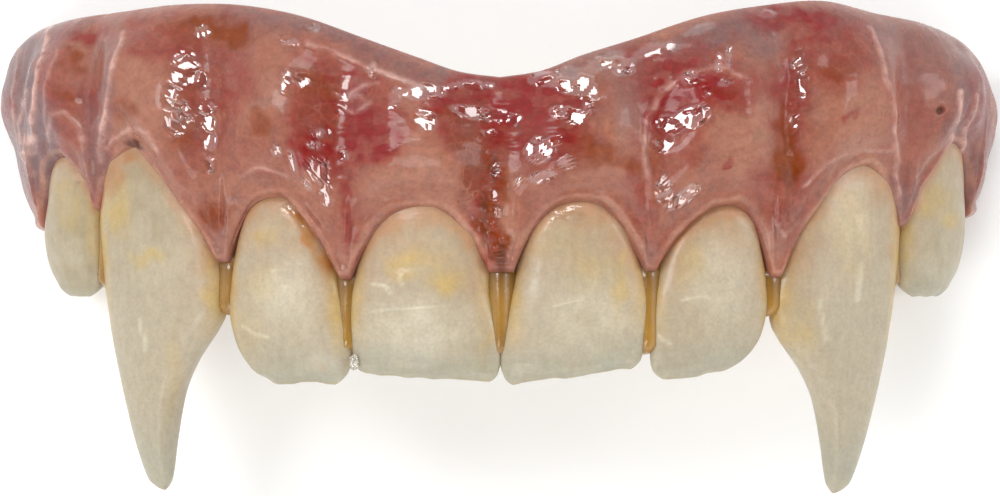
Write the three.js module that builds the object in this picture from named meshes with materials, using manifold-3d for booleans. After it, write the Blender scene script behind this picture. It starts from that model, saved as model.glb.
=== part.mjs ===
// A denture of upper front teeth with two long fangs: a translucent pink gum flange, eight teeth
// and an amber resin tray, open at the top, that goes over the wearer's own teeth.
//
// Millimetres. The denture lies face up on the two cut ends of its arch. X runs across the mouth,
// Y up the front of the denture from the fang tips to the gum's top border, and Z up from the table.
// Left and right are as seen from the front. Heights are measured along Y from the edges of the
// central incisors. An offset is measured from the arch line, outwards from the mouth.

import * as THREE from 'three';
import { mergeVertices } from 'three/addons/utils/BufferGeometryUtils.js';
import Module from 'manifold-3d';

const wasm = await Module();
wasm.setup();

// Arch line, which the fronts of the teeth follow: a quarter ellipse and a short straight leg a side
const archHalfWidth = 30.1;
const archRise = 21;
const archLeg = 1;

// Fits
const clearance = 0.3; // left between any two pieces
const midlineGap = 0.76; // between the central incisors

// Teeth
const incisorWidth = 8.66; // of the left central incisor, along the arch line
const crownHeight = 10; // of the same tooth, from its edge to the gum
const toothThickness = 3.0; // of a facing, front to back
const fangThickness = 3.9;
const rootLength = 1.5; // hidden under the gum above each neck
const rootTaper = 0.35; // how much narrower the root's end is than the neck, as a share
const squareness = 0.78; // of a tooth's section: 1 is an ellipse, 0 a rectangle
const backTaper = 0.24; // how much narrower a tooth is at its back, as a share

// Gum flange
const gumLip = 0.5; // gum in front of a tooth's neck
const borderHeight = 22.6; // highest point of the top border
const flangeThickness = 2.1;
const endThickness = 1.6; // of the flange at the ends of the arch
const borderRoll = 1.05; // radius of the rounded top border
const marginRoll = 0.42; // radius of the edge round the teeth
const flangeBulge = 1.2; // how far the flange swells over the roots
const endTuck = { left: 1.9, right: 1.2 }; // how far the flange's lower edge draws in at the ends
const interdentalDip = 0.75; // depth of the hollows between the roots
const dipFade = 0.75; // how much shallower the hollows are at the border, as a share
const rootFlat = 0.3; // share of a root's half width that stands out fully
const rootReach = 0.9; // share of the flange's height over which the roots stand out
const frenumDip = 0.5; // depth of the groove at the midline
const frenumWidth = 1.7;
const frenumStart = 0.12; // how deep into its curve the groove starts at the teeth, as a share

// Inner tray
const trayInset = 1.6; // front of the tray behind the arch line
const trayTuck = 1.6; // how far it draws in further at the ends
const trayWall = 0.8; // behind the teeth
const troughWidth = 6.1; // room for the wearer's teeth
const rearWall = 1.1;
const trayFloor = 1.1;
const floorHeight = 5.3; // underside of the tray at the sides
const frontWallShare = 0.72; // height of its front wall, as a share of the top border there
const rearWallShare = 0.64;
const trayEdge = 0.35; // edge break
const trayHeel = 2.2; // radius of the tray's lower rear corner

// Mesh steps
const flangeStations = 80;
const trayStations = 44;
const toothLevels = 13;
const toothSides = 16;

// Each side's teeth from the midline back. gap is the space before the tooth and width its size along
// the arch, as shares of incisorWidth. neck, edge and papilla are heights as shares of crownHeight: of
// the gum's edge over the tooth, of its cutting edge or tip, and of the gum beyond the tooth. slope is
// how much the cutting edge rises outwards across the tooth, in the same shares. zenith is how far
// outwards the gum's edge is highest, as a share of the tooth's width, inner and outer are how round
// that edge is on the side towards the midline and on the other, and ridge is the swell of the root.
const sides = {
  left: [
    { kind: 'central_incisor', gap: 0, width: 1, neck: 1.006, edge: 0.01, slope: 0.05,
      papilla: 0.59, zenith: -0.07, inner: 1.7, outer: 3, ridge: 0.5 },
    { kind: 'lateral_incisor', gap: 0.074, width: 0.82, neck: 1.075, edge: -0.025, slope: 0.01,
      papilla: 0.69, zenith: 0, inner: 1.4, outer: 3.2, ridge: 0.6 },
    { kind: 'fang', gap: 0.081, width: 1.04, neck: 1.37, edge: -0.68, slope: 0,
      papilla: 1, zenith: 0.13, inner: 1.2, outer: 2, ridge: 1 },
    { kind: 'premolar', gap: 0.081, width: 0.74, neck: 1.325, edge: 0.48, slope: 0,
      papilla: 0.88, zenith: -0.13, inner: 1.5, outer: 3, ridge: 0.5 },
  ],
  right: [
    { kind: 'central_incisor', gap: 0.023, width: 0.953, neck: 1.05, edge: 0.02, slope: 0.11,
      papilla: 0.635, zenith: 0.06, inner: 3, outer: 1.8, ridge: 0.5 },
    { kind: 'lateral_incisor', gap: 0.043, width: 0.866, neck: 1.03, edge: 0.03, slope: 0.08,
      papilla: 0.6, zenith: 0.12, inner: 2, outer: 2.4, ridge: 0.7 },
    { kind: 'fang', gap: 0.069, width: 1.051, neck: 1.26, edge: -0.7, slope: 0,
      papilla: 0.9, zenith: 0.15, inner: 1.9, outer: 1.8, ridge: 0.9 },
    { kind: 'premolar', gap: 0.081, width: 0.982, neck: 1.405, edge: 0.48, slope: 0,
      papilla: 0.96, zenith: 0, inner: 1.3, outer: 3, ridge: 0.5 },
  ],
};
const midlinePapilla = 0.63; // height of the gum between the central incisors, as a share of crownHeight

// Sections of a tooth. down is a share of the crown from neck to edge, and below 0 on the root.
// mesial and distal are shares of the width towards and away from the midline. front and back are
// shares of the thickness either side of the arch line.
const toothSections = {
  central_incisor: [
    { down: 0, mesial: 0.36, distal: 0.36, front: -0.08, back: 0.92 },
    { down: 0.25, mesial: 0.43, distal: 0.44, front: 0, back: 0.95 },
    { down: 0.55, mesial: 0.48, distal: 0.5, front: 0.05, back: 0.84 },
    { down: 0.82, mesial: 0.5, distal: 0.495, front: 0.02, back: 0.62 },
    { down: 0.95, mesial: 0.495, distal: 0.465, front: -0.03, back: 0.46 },
    { down: 1, mesial: 0.475, distal: 0.42, front: -0.12, back: 0.34 },
  ],
  lateral_incisor: [
    { down: 0, mesial: 0.34, distal: 0.34, front: -0.1, back: 0.92 },
    { down: 0.25, mesial: 0.43, distal: 0.42, front: 0, back: 0.95 },
    { down: 0.55, mesial: 0.49, distal: 0.5, front: 0.04, back: 0.84 },
    { down: 0.8, mesial: 0.5, distal: 0.44, front: 0, back: 0.62 },
    { down: 0.93, mesial: 0.49, distal: 0.3, front: -0.05, back: 0.48 },
    { down: 1, mesial: 0.44, distal: 0.14, front: -0.14, back: 0.34 },
  ],
  fang: [
    { down: 0, mesial: 0.37, distal: 0.37, front: -0.06, back: 0.74 },
    { down: 0.2, mesial: 0.45, distal: 0.45, front: 0.02, back: 0.78 },
    { down: 0.36, mesial: 0.52, distal: 0.49, front: 0.06, back: 0.8 },
    { down: 0.46, mesial: 0.52, distal: 0.49, front: 0.06, back: 0.8 },
    { down: 0.53, mesial: 0.43, distal: 0.47, front: 0.05, back: 0.8 },
    { down: 0.62, mesial: 0.26, distal: 0.42, front: 0.02, back: 0.78 },
    { down: 0.72, mesial: 0.12, distal: 0.36, front: -0.03, back: 0.74 },
    { down: 0.85, mesial: 0.06, distal: 0.26, front: -0.1, back: 0.62 },
    { down: 0.96, mesial: 0.045, distal: 0.15, front: -0.19, back: 0.5 },
    { down: 1, mesial: 0.02, distal: 0.07, front: -0.26, back: 0.4 },
  ],
  premolar: [
    { down: 0, mesial: 0.34, distal: 0.34, front: -0.1, back: 0.9 },
    { down: 0.3, mesial: 0.45, distal: 0.45, front: 0.02, back: 0.96 },
    { down: 0.55, mesial: 0.5, distal: 0.5, front: 0.04, back: 0.96 },
    { down: 0.78, mesial: 0.5, distal: 0.41, front: -0.02, back: 0.88 },
    { down: 0.92, mesial: 0.46, distal: 0.2, front: -0.1, back: 0.7 },
    { down: 1, mesial: 0.34, distal: 0.08, front: -0.2, back: 0.5 },
  ],
};

// Heights of the top border, as shares of the highest, and at which share of the half arch
const borderLine = [
  { at: 0, left: 0.79, right: 0.79 },
  { at: 0.06, left: 0.805, right: 0.807 },
  { at: 0.12, left: 0.842, right: 0.848 },
  { at: 0.2, left: 0.893, right: 0.893 },
  { at: 0.3, left: 0.955, right: 0.952 },
  { at: 0.4, left: 0.986, right: 0.984 },
  { at: 0.5, left: 0.99, right: 1 },
  { at: 0.6, left: 0.978, right: 0.974 },
  { at: 0.72, left: 0.965, right: 0.952 },
  { at: 0.84, left: 0.942, right: 0.915 },
  { at: 0.93, left: 0.9, right: 0.86 },
  { at: 1, left: 0.845, right: 0.785 },
];

// Profile of the flange from the teeth up to the border: the swell of its front, as shares of
// flangeBulge, and how far it still draws in at the ends, as shares of endTuck
const flangeProfile = [
  { up: 0, swell: 0, tuck: 1 },
  { up: 0.25, swell: 0.35, tuck: 0.72 },
  { up: 0.5, swell: 0.4, tuck: 0.45 },
  { up: 0.75, swell: 0.15, tuck: -0.15 },
  { up: 1, swell: -0.6, tuck: -0.4 },
];

// Underside of the tray, as shares of its height at the sides
const trayLine = [
  { at: 0, height: 0.24 },
  { at: 0.2, height: 0.24 },
  { at: 0.32, height: 0.42 },
  { at: 0.42, height: 0.7 },
  { at: 0.62, height: 1 },
  { at: 1, height: 1 },
];

const paints = {
  gum: new THREE.MeshStandardMaterial({ color: 0xb5706a, roughness: 0.22, metalness: 0 }),
  tooth: new THREE.MeshStandardMaterial({ color: 0xd8cca4, roughness: 0.3, metalness: 0 }),
  resin: new THREE.MeshStandardMaterial({ color: 0xb98a3c, roughness: 0.25, metalness: 0 }),
};

// A column of a table of rows at any place along its key column, as a smooth curve through the rows
function readTable(rows, key, column, at) {
  const last = rows.length - 1;
  const place = THREE.MathUtils.clamp(at, rows[0][key], rows[last][key]);
  let row = 0;
  while (row < last - 1 && place > rows[row + 1][key]) row++;
  const grade = (a, b) => (rows[b][column] - rows[a][column]) / (rows[b][key] - rows[a][key]);
  const step = rows[row + 1][key] - rows[row][key];
  const t = (place - rows[row][key]) / step;
  const leaving = grade(Math.max(row - 1, 0), row + 1) * step;
  const arriving = grade(row, Math.min(row + 2, last)) * step;
  const rise = rows[row + 1][column] - rows[row][column];
  return rows[row][column] + t * leaving + t * t * (3 * rise - 2 * leaving - arriving)
    + t * t * t * (leaving + arriving - 2 * rise);
}

// The right half of the arch line, seen from above the top border: x across and z up from the table
const halfArch = new THREE.CurvePath();
halfArch.add(new THREE.EllipseCurve(0, archLeg, archHalfWidth, archRise, Math.PI / 2, 0, true));
halfArch.add(new THREE.LineCurve(
  new THREE.Vector2(archHalfWidth, archLeg), new THREE.Vector2(archHalfWidth, 0)));
const halfLength = halfArch.getLength();

// A point at a distance along the arch from the midline (left is negative), a height and an offset
function archPoint(along, height, offset) {
  const share = Math.min(Math.abs(along) / halfLength, 1);
  const side = Math.sign(along) || 1;
  const foot = halfArch.getPointAt(share);
  const heading = halfArch.getTangentAt(share);
  return new THREE.Vector3(
    side * (foot.x - heading.y * offset), height, foot.y + heading.x * offset);
}

// Where each tooth stands, as distances along the arch: its centre, and its room from the middle of
// the gap before it to the middle of the gap after it
const teeth = Object.entries(sides).flatMap(([side, row]) => {
  let reached = midlineGap / 2;
  return row.map((tooth, index) => {
    const gap = tooth.gap * incisorWidth;
    const width = tooth.width * incisorWidth;
    const centre = reached + gap + width / 2;
    const from = reached + gap / 2;
    reached += gap + width;
    const nextGap = index + 1 < row.length ? row[index + 1].gap * incisorWidth : 2 * clearance;
    return {
      ...tooth,
      name: `${tooth.kind}_${side}`,
      sign: side === 'left' ? -1 : 1,
      width,
      centre,
      from,
      to: reached + nextGap / 2,
      neck: tooth.neck * crownHeight,
      edge: tooth.edge * crownHeight,
      slope: tooth.slope * crownHeight,
      papilla: tooth.papilla * crownHeight,
    };
  });
});

// A closed mesh over rings of points. flatten gives the two coordinates in which its end rings lie flat.
function loft(rings, flatten) {
  const size = rings[0].length;
  const faces = [];
  for (let ring = 0; ring < rings.length - 1; ring++) {
    for (let point = 0; point < size; point++) {
      const a = ring * size + point;
      const b = ring * size + (point + 1) % size;
      faces.push(a, b, a + size, b, b + size, a + size);
    }
  }
  const closeEnd = (ring, facing) => {
    const outline = rings[ring].map((point) => new THREE.Vector2(...flatten(point)));
    const turn = facing * Math.sign(THREE.ShapeUtils.area(outline));
    for (const face of THREE.ShapeUtils.triangulateShape(outline, [])) {
      const area = THREE.ShapeUtils.area(face.map((corner) => outline[corner]));
      const ordered = Math.sign(area) === turn ? face : [face[0], face[2], face[1]];
      faces.push(...ordered.map((corner) => ring * size + corner));
    }
  };
  closeEnd(0, -1);
  closeEnd(rings.length - 1, 1);
  const geometry = new THREE.BufferGeometry().setFromPoints(rings.flat());
  geometry.setIndex(faces);
  return geometry;
}

// A loft as a solid, turned the right way out
function solidOf(geometry) {
  const merged = mergeVertices(geometry, 1e-4);
  const vertProperties = merged.attributes.position.array;
  const build = (triVerts) => new wasm.Manifold(new wasm.Mesh({ numProp: 3, vertProperties, triVerts }));
  const triVerts = new Uint32Array(merged.index.array);
  const solid = build(triVerts);
  return solid.volume() > 0 ? solid : build(triVerts.reverse());
}

function meshOf(solid, name, material) {
  const made = solid.getMesh();
  const geometry = new THREE.BufferGeometry();
  geometry.setAttribute('position', new THREE.BufferAttribute(new Float32Array(made.vertProperties), 3));
  geometry.setIndex(new THREE.BufferAttribute(new Uint32Array(made.triVerts), 1));
  geometry.computeVertexNormals();
  const mesh = new THREE.Mesh(geometry, material);
  mesh.name = name;
  return mesh;
}

// Tooth: rings from the root down to the edge. grow makes it thicker all round, for cutting its socket.
function toothSolid(tooth, grow = 0) {
  const rows = toothSections[tooth.kind];
  const thickness = tooth.kind === 'fang' ? fangThickness : toothThickness;
  const crown = tooth.neck - tooth.edge;
  const rootDown = (rootLength + grow) / crown;
  const edgeDown = 1 + grow / crown;
  const rings = [];
  for (let level = 0; level <= toothLevels; level++) {
    const eased = 1 - (1 - level / toothLevels) ** 1.5;
    const down = THREE.MathUtils.lerp(-rootDown, edgeDown, eased);
    const read = (column) => readTable(rows, 'down', column, down);
    const narrowed = 1 + rootTaper * Math.min(down, 0) / rootDown;
    const shift = tooth.zenith * tooth.width * THREE.MathUtils.clamp(1 - down / 0.5, 0, 1);
    const front = read('front') * thickness + grow;
    const back = read('back') * thickness + grow;
    const ring = [];
    for (let side = 0; side < toothSides; side++) {
      const angle = 2 * Math.PI * side / toothSides;
      const squared = (value) => Math.sign(value) * Math.abs(value) ** squareness;
      const across = squared(Math.cos(angle));
      const reach = (across > 0 ? read('distal') : read('mesial')) * tooth.width * narrowed + grow;
      const narrowing = 1 - backTaper * Math.max(-Math.sin(angle), 0);
      const along = tooth.centre + shift + across * reach * narrowing;
      const offset = (front - back) / 2 + squared(Math.sin(angle)) * (front + back) / 2;
      const edge = tooth.edge + tooth.slope * (along - tooth.centre) / tooth.width;
      const height = tooth.neck + (edge - tooth.neck) * down;
      ring.push(archPoint(tooth.sign * along, height, offset));
    }
    rings.push(ring);
  }
  return solidOf(loft(rings, (point) => [point.x, point.z]));
}

// The tooth in whose room a place along the arch falls, or the last one
function toothAt(along) {
  const row = teeth.filter((tooth) => tooth.sign === (along < 0 ? -1 : 1));
  const index = row.findIndex((tooth) => Math.abs(along) <= tooth.to);
  return { tooth: row.at(index), before: row[index - 1], last: row.at(-1) };
}

// How high the gum's edge stands: over each tooth a round arch, between teeth a pointed papilla
function marginHeight(along) {
  const { tooth, before } = toothAt(along);
  const peak = tooth.centre + tooth.zenith * tooth.width;
  const away = Math.abs(along) - peak;
  const share = Math.min(away / ((away < 0 ? tooth.from : tooth.to) - peak), 1);
  const inner = before ? before.papilla : midlinePapilla * crownHeight;
  const low = away < 0 ? inner : tooth.papilla;
  return low + (tooth.neck - low) * (1 - share ** (away < 0 ? tooth.inner : tooth.outer));
}

// 1 over a root and 0 between roots
function rootShare(along) {
  const { tooth } = toothAt(along);
  const away = Math.abs(along) - tooth.centre;
  const reach = (away < 0 ? tooth.from : tooth.to) - tooth.centre;
  return 1 - THREE.MathUtils.smoothstep(away / reach, rootFlat, 1);
}

// 0 along the front of the arch, rising to 1 at its ends
function endShare(along) {
  return THREE.MathUtils.smoothstep(Math.abs(along), toothAt(along).last.centre, halfLength - archLeg);
}

function borderAt(along) {
  const column = along < 0 ? 'left' : 'right';
  return readTable(borderLine, 'at', column, Math.abs(along) / halfLength) * borderHeight;
}

// Front and back of the gum flange at a share of its height
function flangeOffsets(along, up) {
  const read = (column) => readTable(flangeProfile, 'up', column, up);
  const end = endShare(along);
  const tuck = end * read('tuck') * endTuck[along < 0 ? 'left' : 'right'];
  const base = clearance + gumLip + read('swell') * flangeBulge - tuck;
  const over = rootShare(along);
  const dip = interdentalDip * (1 - over) * (1 - dipFade * up) * (1 - end);
  const swell = interdentalDip * toothAt(along).tooth.ridge * over * Math.sin(Math.PI * rootReach * up);
  const grooveShare = Math.sin(Math.PI * Math.min(up + frenumStart, 1));
  const groove = frenumDip * Math.exp(-((along / frenumWidth) ** 2)) * grooveShare;
  const thickness = THREE.MathUtils.lerp(flangeThickness, endThickness, end);
  return { front: base - dip + swell - groove, back: base - thickness };
}

// Gum flange: one section for each station along the arch
function flangeSolid() {
  const frontSteps = 9;
  const backSteps = 4;
  const rollSteps = 4;
  const rings = [];
  for (let station = 0; station <= flangeStations; station++) {
    const along = THREE.MathUtils.lerp(-halfLength, halfLength, station / flangeStations);
    const low = marginHeight(along) + marginRoll;
    const high = borderAt(along) - borderRoll;
    const ring = [];
    const add = (up, side, height = 0, inset = 0) => {
      const offsets = flangeOffsets(along, up);
      const offset = side === 'front' ? offsets.front - inset : offsets.back + inset;
      ring.push(archPoint(along, THREE.MathUtils.lerp(low, high, up) + height, offset));
    };
    const roll = (up, radius, from) => {
      const { front, back } = flangeOffsets(along, up);
      const middle = (front - back) / 2;
      for (let step = 1; step < 2 * rollSteps; step += 2) {
        const angle = Math.PI * step / (2 * rollSteps);
        const side = (angle < Math.PI / 2) === (from === 'front') ? 'front' : 'back';
        const rise = radius * Math.sin(angle);
        add(up, side, up ? rise : -rise, middle * (1 - Math.abs(Math.cos(angle))));
      }
    };
    for (let step = 0; step <= frontSteps; step++) add(step / frontSteps, 'front');
    roll(1, borderRoll, 'front');
    for (let step = backSteps; step >= 0; step--) add(step / backSteps, 'back');
    roll(0, marginRoll, 'back');
    rings.push(ring);
  }
  return solidOf(loft(rings, (point) => [point.x, point.y]));
}

// Inner tray: a trough along the arch, with a wall behind the teeth and one behind the wearer's own
function traySolid() {
  const frontInner = toothThickness + clearance + trayWall;
  const rearInner = frontInner + troughWidth;
  const rearOuter = rearInner + rearWall;
  const rings = [];
  for (let station = 0; station <= trayStations; station++) {
    const along = THREE.MathUtils.lerp(-halfLength, halfLength, station / trayStations);
    const under = readTable(trayLine, 'at', 'height', Math.abs(along) / halfLength) * floorHeight;
    const front = trayInset + trayTuck * endShare(along);
    const frontTop = borderAt(along) * frontWallShare;
    const rearTop = borderAt(along) * rearWallShare;
    const floor = under + trayFloor;
    const heel = [0, 1, 2].map((step) => {
      const angle = Math.PI / 2 * step / 2;
      return [rearOuter - trayHeel * (1 - Math.cos(angle)), under + trayHeel * (1 - Math.sin(angle))];
    });
    const section = [
      [front, under + trayEdge], [front, frontTop - trayEdge], [front + trayEdge, frontTop],
      [frontInner - trayEdge, frontTop], [frontInner, frontTop - trayEdge],
      [frontInner, floor + trayEdge], [frontInner + trayEdge, floor],
      [rearInner - trayEdge, floor], [rearInner, floor + trayEdge],
      [rearInner, rearTop - trayEdge], [rearInner + trayEdge, rearTop],
      [rearOuter - trayEdge, rearTop], [rearOuter, rearTop - trayEdge],
      ...heel, [front + trayEdge, under],
    ];
    rings.push(section.map(([inset, height]) => archPoint(along, height, -inset)));
  }
  return solidOf(loft(rings, (point) => [point.x, point.y]));
}

const sockets = wasm.Manifold.union(teeth.map((tooth) => toothSolid(tooth, clearance)));
const flange = flangeSolid().subtract(sockets);
const tray = traySolid().subtract(sockets);

const denture = new THREE.Group();
denture.add(meshOf(flange, 'gum_flange', paints.gum));
denture.add(meshOf(tray, 'inner_tray', paints.resin));
for (const tooth of teeth) denture.add(meshOf(toothSolid(tooth), tooth.name, paints.tooth));

// The origin is on the table, under the middle of the whole
const middle = new THREE.Box3().setFromObject(denture).getCenter(new THREE.Vector3());
denture.position.set(-middle.x, -middle.y, 0);

export default denture;
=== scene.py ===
"""Looks of a fang denture: a glossy gum, ivory teeth and an amber tray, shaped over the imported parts.

Tables and formulas are in millimetres. "along" is a distance along the arch from the midline, negative
on the left, "height" is measured from the edges of the central incisors, and "offset" outwards from
the arch line, which the fronts of the teeth follow.
"""

import math

import bpy
import numpy as np
from bpy.props import FloatProperty, FloatVectorProperty, PointerProperty
from bpy.types import Operator, Panel, PropertyGroup
from mathutils import Color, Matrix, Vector


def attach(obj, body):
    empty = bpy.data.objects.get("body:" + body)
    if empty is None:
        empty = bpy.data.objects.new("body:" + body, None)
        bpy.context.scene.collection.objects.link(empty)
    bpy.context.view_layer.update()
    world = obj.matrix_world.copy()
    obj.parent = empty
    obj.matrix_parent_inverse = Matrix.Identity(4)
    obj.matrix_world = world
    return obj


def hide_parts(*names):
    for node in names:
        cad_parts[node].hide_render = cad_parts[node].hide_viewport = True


bl_info = {
    "name": "Fang Denture Looks",
    "version": (1, 0, 0),
    "blender": (4, 5, 0),
    "location": "3D View > Sidebar > Denture",
    "description": "Builds the gum, the teeth, the tray and the stage of a fang denture",
    "category": "Object",
}

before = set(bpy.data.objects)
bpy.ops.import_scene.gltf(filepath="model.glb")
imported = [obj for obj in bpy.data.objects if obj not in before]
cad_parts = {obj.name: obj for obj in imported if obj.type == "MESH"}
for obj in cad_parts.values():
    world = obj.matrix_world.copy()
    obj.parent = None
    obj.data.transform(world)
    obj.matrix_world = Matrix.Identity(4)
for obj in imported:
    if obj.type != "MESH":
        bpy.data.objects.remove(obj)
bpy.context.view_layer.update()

MILLIMETRE = 0.001
BODY = "root"

# Where the arch line's own origin lies in the frame
ORIGIN_X = 0.0676
ORIGIN_Y = -7.76

# Arch line
ARCH_HALF_WIDTH = 30.1
ARCH_RISE = 21.0
ARCH_LEG = 1.0
ARCH_STEPS = 4000

# Teeth
CLEARANCE = 0.3
MIDLINE_GAP = 0.76
INCISOR_WIDTH = 8.66
CROWN_HEIGHT = 10.0
TOOTH_THICKNESS = 3.0
FANG_THICKNESS = 3.9
ROOT_LENGTH = 1.5
ROOT_TAPER = 0.35
SQUARENESS = 0.78
BACK_TAPER = 0.24

# Gum flange
GUM_LIP = 0.5
BORDER_HEIGHT = 22.6
FLANGE_THICKNESS = 2.1
END_THICKNESS = 1.6
BORDER_ROLL = 1.05
MARGIN_ROLL = 0.42
FLANGE_BULGE = 1.2
END_TUCK = {"left": 1.9, "right": 1.2}
INTERDENTAL_DIP = 0.75
DIP_FADE = 0.75
ROOT_FLAT = 0.3
ROOT_REACH = 0.9
FRENUM_DIP = 0.5
FRENUM_WIDTH = 1.7
FRENUM_START = 0.12
STEEPEST_MARGIN = 3.5

# How much the gum's points between the teeth are widened and blunted
PAPILLA_WIDTH = 1.08

# Tray
TRAY_INSET = 1.6
TRAY_TUCK = 1.6
TRAY_WALL = 0.8
TROUGH_WIDTH = 6.1
REAR_WALL = 1.1
TRAY_FLOOR = 1.1
FLOOR_HEIGHT = 5.3
FRONT_WALL_SHARE = 0.72
REAR_WALL_SHARE = 0.64
TRAY_HEEL = 2.2
HEEL_ROUND = 0.3

# Resin that wells up between the teeth: how far forward, how much less with each millimetre up, how wide,
# how deep its sides reach, where it fades above the gum's points, and how far down their shadow reaches
GAP_FILL = 1.3
GAP_LEAN = 0.04
GAP_WIDTH = 1.1
GAP_DEPTH = 0.9
GAP_FADE = (0.2, 1)
GAP_SHADOW = 1.6

# Droplet of resin left between two front teeth: its place along the arch, its height and its offset,
# its half sizes along, up and outwards, how lumpy it is, and how near its poles the rings of points start
DROP_PLACE = (-8.72, 1.0, -0.15)
DROP_RADII = (0.26, 0.48, 0.24)
DROP_LUMPS = 0.5
DROP_POLE = 0.15

# Mesh steps, and how many cells of noise there are before it repeats
GUM_STATIONS = 560
GUM_FRONT = 140
GUM_ROLL = 14
GUM_BACK = 8
GUM_LIP_STEPS = 12
CREASE_STEPS = 14
TOOTH_LEVELS = 128
TOOTH_EDGE_LEVELS = 12
TOOTH_SIDES = 116
TRAY_STATIONS = 300
TRAY_STEPS = (26, 8, 22, 14, 18, 6, 18, 5, 5, 16)
DROP_RINGS = 18
DROP_SIDES = 20
NOISE_CELLS = 64

# Each side's teeth from the midline back, in shares of the incisor's width (gap, width) and of the
# crown's height (neck, edge, slope, papilla). zenith is how far outwards the gum's edge is highest,
# inner and outer how round that edge is, and ridge the swell of the root.
TOOTH_COLUMNS = (
    "kind", "gap", "width", "neck", "edge", "slope", "papilla", "zenith", "inner", "outer", "ridge")
SIDES = {
    "left": (
        ("central_incisor", 0, 1, 1.006, 0.01, 0.05, 0.59, -0.07, 1.7, 3, 0.5),
        ("lateral_incisor", 0.074, 0.82, 1.075, -0.025, 0.01, 0.69, 0, 1.4, 3.2, 0.6),
        ("fang", 0.081, 1.04, 1.37, -0.68, 0, 1, 0.13, 1.2, 2, 1),
        ("premolar", 0.081, 0.74, 1.325, 0.48, 0, 0.88, -0.13, 1.5, 3, 0.5),
    ),
    "right": (
        ("central_incisor", 0.023, 0.953, 1.05, 0.02, 0.11, 0.635, 0.06, 3, 1.8, 0.5),
        ("lateral_incisor", 0.043, 0.866, 1.03, 0.03, 0.08, 0.6, 0.12, 2, 2.4, 0.7),
        ("fang", 0.069, 1.051, 1.26, -0.7, 0, 0.9, 0.15, 1.9, 1.8, 0.9),
        ("premolar", 0.081, 0.982, 1.405, 0.48, 0, 0.96, 0, 1.3, 3, 0.5),
    ),
}
MIDLINE_PAPILLA = 0.63

# Sections of a tooth: share of the crown from neck to edge, shares of the width towards and away
# from the midline, and shares of the thickness in front of and behind the arch line
TOOTH_SECTIONS = {
    "central_incisor": (
        (0, 0.36, 0.36, -0.08, 0.92), (0.25, 0.43, 0.44, 0, 0.95), (0.55, 0.48, 0.5, 0.05, 0.84),
        (0.82, 0.5, 0.495, 0.02, 0.62), (0.95, 0.495, 0.465, -0.03, 0.46), (1, 0.475, 0.42, -0.12, 0.34),
    ),
    "lateral_incisor": (
        (0, 0.34, 0.34, -0.1, 0.92), (0.25, 0.43, 0.42, 0, 0.95), (0.55, 0.49, 0.5, 0.04, 0.84),
        (0.8, 0.5, 0.44, 0, 0.62), (0.93, 0.49, 0.3, -0.05, 0.48), (1, 0.44, 0.14, -0.14, 0.34),
    ),
    "fang": (
        (0, 0.37, 0.37, -0.06, 0.74), (0.2, 0.45, 0.45, 0.02, 0.78), (0.36, 0.52, 0.49, 0.06, 0.8),
        (0.46, 0.52, 0.49, 0.06, 0.8), (0.53, 0.43, 0.47, 0.05, 0.8), (0.62, 0.26, 0.42, 0.02, 0.78),
        (0.72, 0.12, 0.36, -0.03, 0.74), (0.85, 0.06, 0.26, -0.1, 0.62), (0.96, 0.045, 0.15, -0.19, 0.5),
        (1, 0.02, 0.07, -0.26, 0.4),
    ),
    "premolar": (
        (0, 0.34, 0.34, -0.1, 0.9), (0.3, 0.45, 0.45, 0.02, 0.96), (0.55, 0.5, 0.5, 0.04, 0.96),
        (0.78, 0.5, 0.41, -0.02, 0.88), (0.92, 0.46, 0.2, -0.1, 0.7), (1, 0.34, 0.08, -0.2, 0.5),
    ),
}

# Top border: share of the half arch, and the height there on the left and right as shares of the highest
BORDER_LINE = (
    (0, 0.79, 0.79), (0.06, 0.805, 0.807), (0.12, 0.842, 0.848), (0.2, 0.893, 0.893),
    (0.3, 0.955, 0.952), (0.4, 0.986, 0.984), (0.5, 0.99, 1), (0.6, 0.978, 0.974),
    (0.72, 0.965, 0.952), (0.84, 0.942, 0.915), (0.93, 0.9, 0.86), (1, 0.845, 0.785),
)

# Flange from the teeth up to the border: share of its height, swell of its front and draw at the ends
FLANGE_PROFILE = ((0, 0, 1), (0.25, 0.35, 0.72), (0.5, 0.4, 0.45), (0.75, 0.15, -0.15), (1, -0.6, -0.4))

# Underside of the tray: share of the half arch, and its height as a share of that at the sides
TRAY_LINE = ((0, 0.24), (0.2, 0.24), (0.32, 0.42), (0.42, 0.7), (0.62, 1), (1, 1))

# Marks on the front are placed on a flat front view, 17 steps to a millimetre at the front of the arch,
# with x across from the left and y down from the top. It is seen from 300 mm away.
VIEW_STEPS = 17.0
VIEW_MIDDLE = (500.0, 248.0)
VIEW_HEIGHT = 7.765
VIEW_DISTANCE = 300.0
FRONT_DEPTH = 22.0

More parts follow.
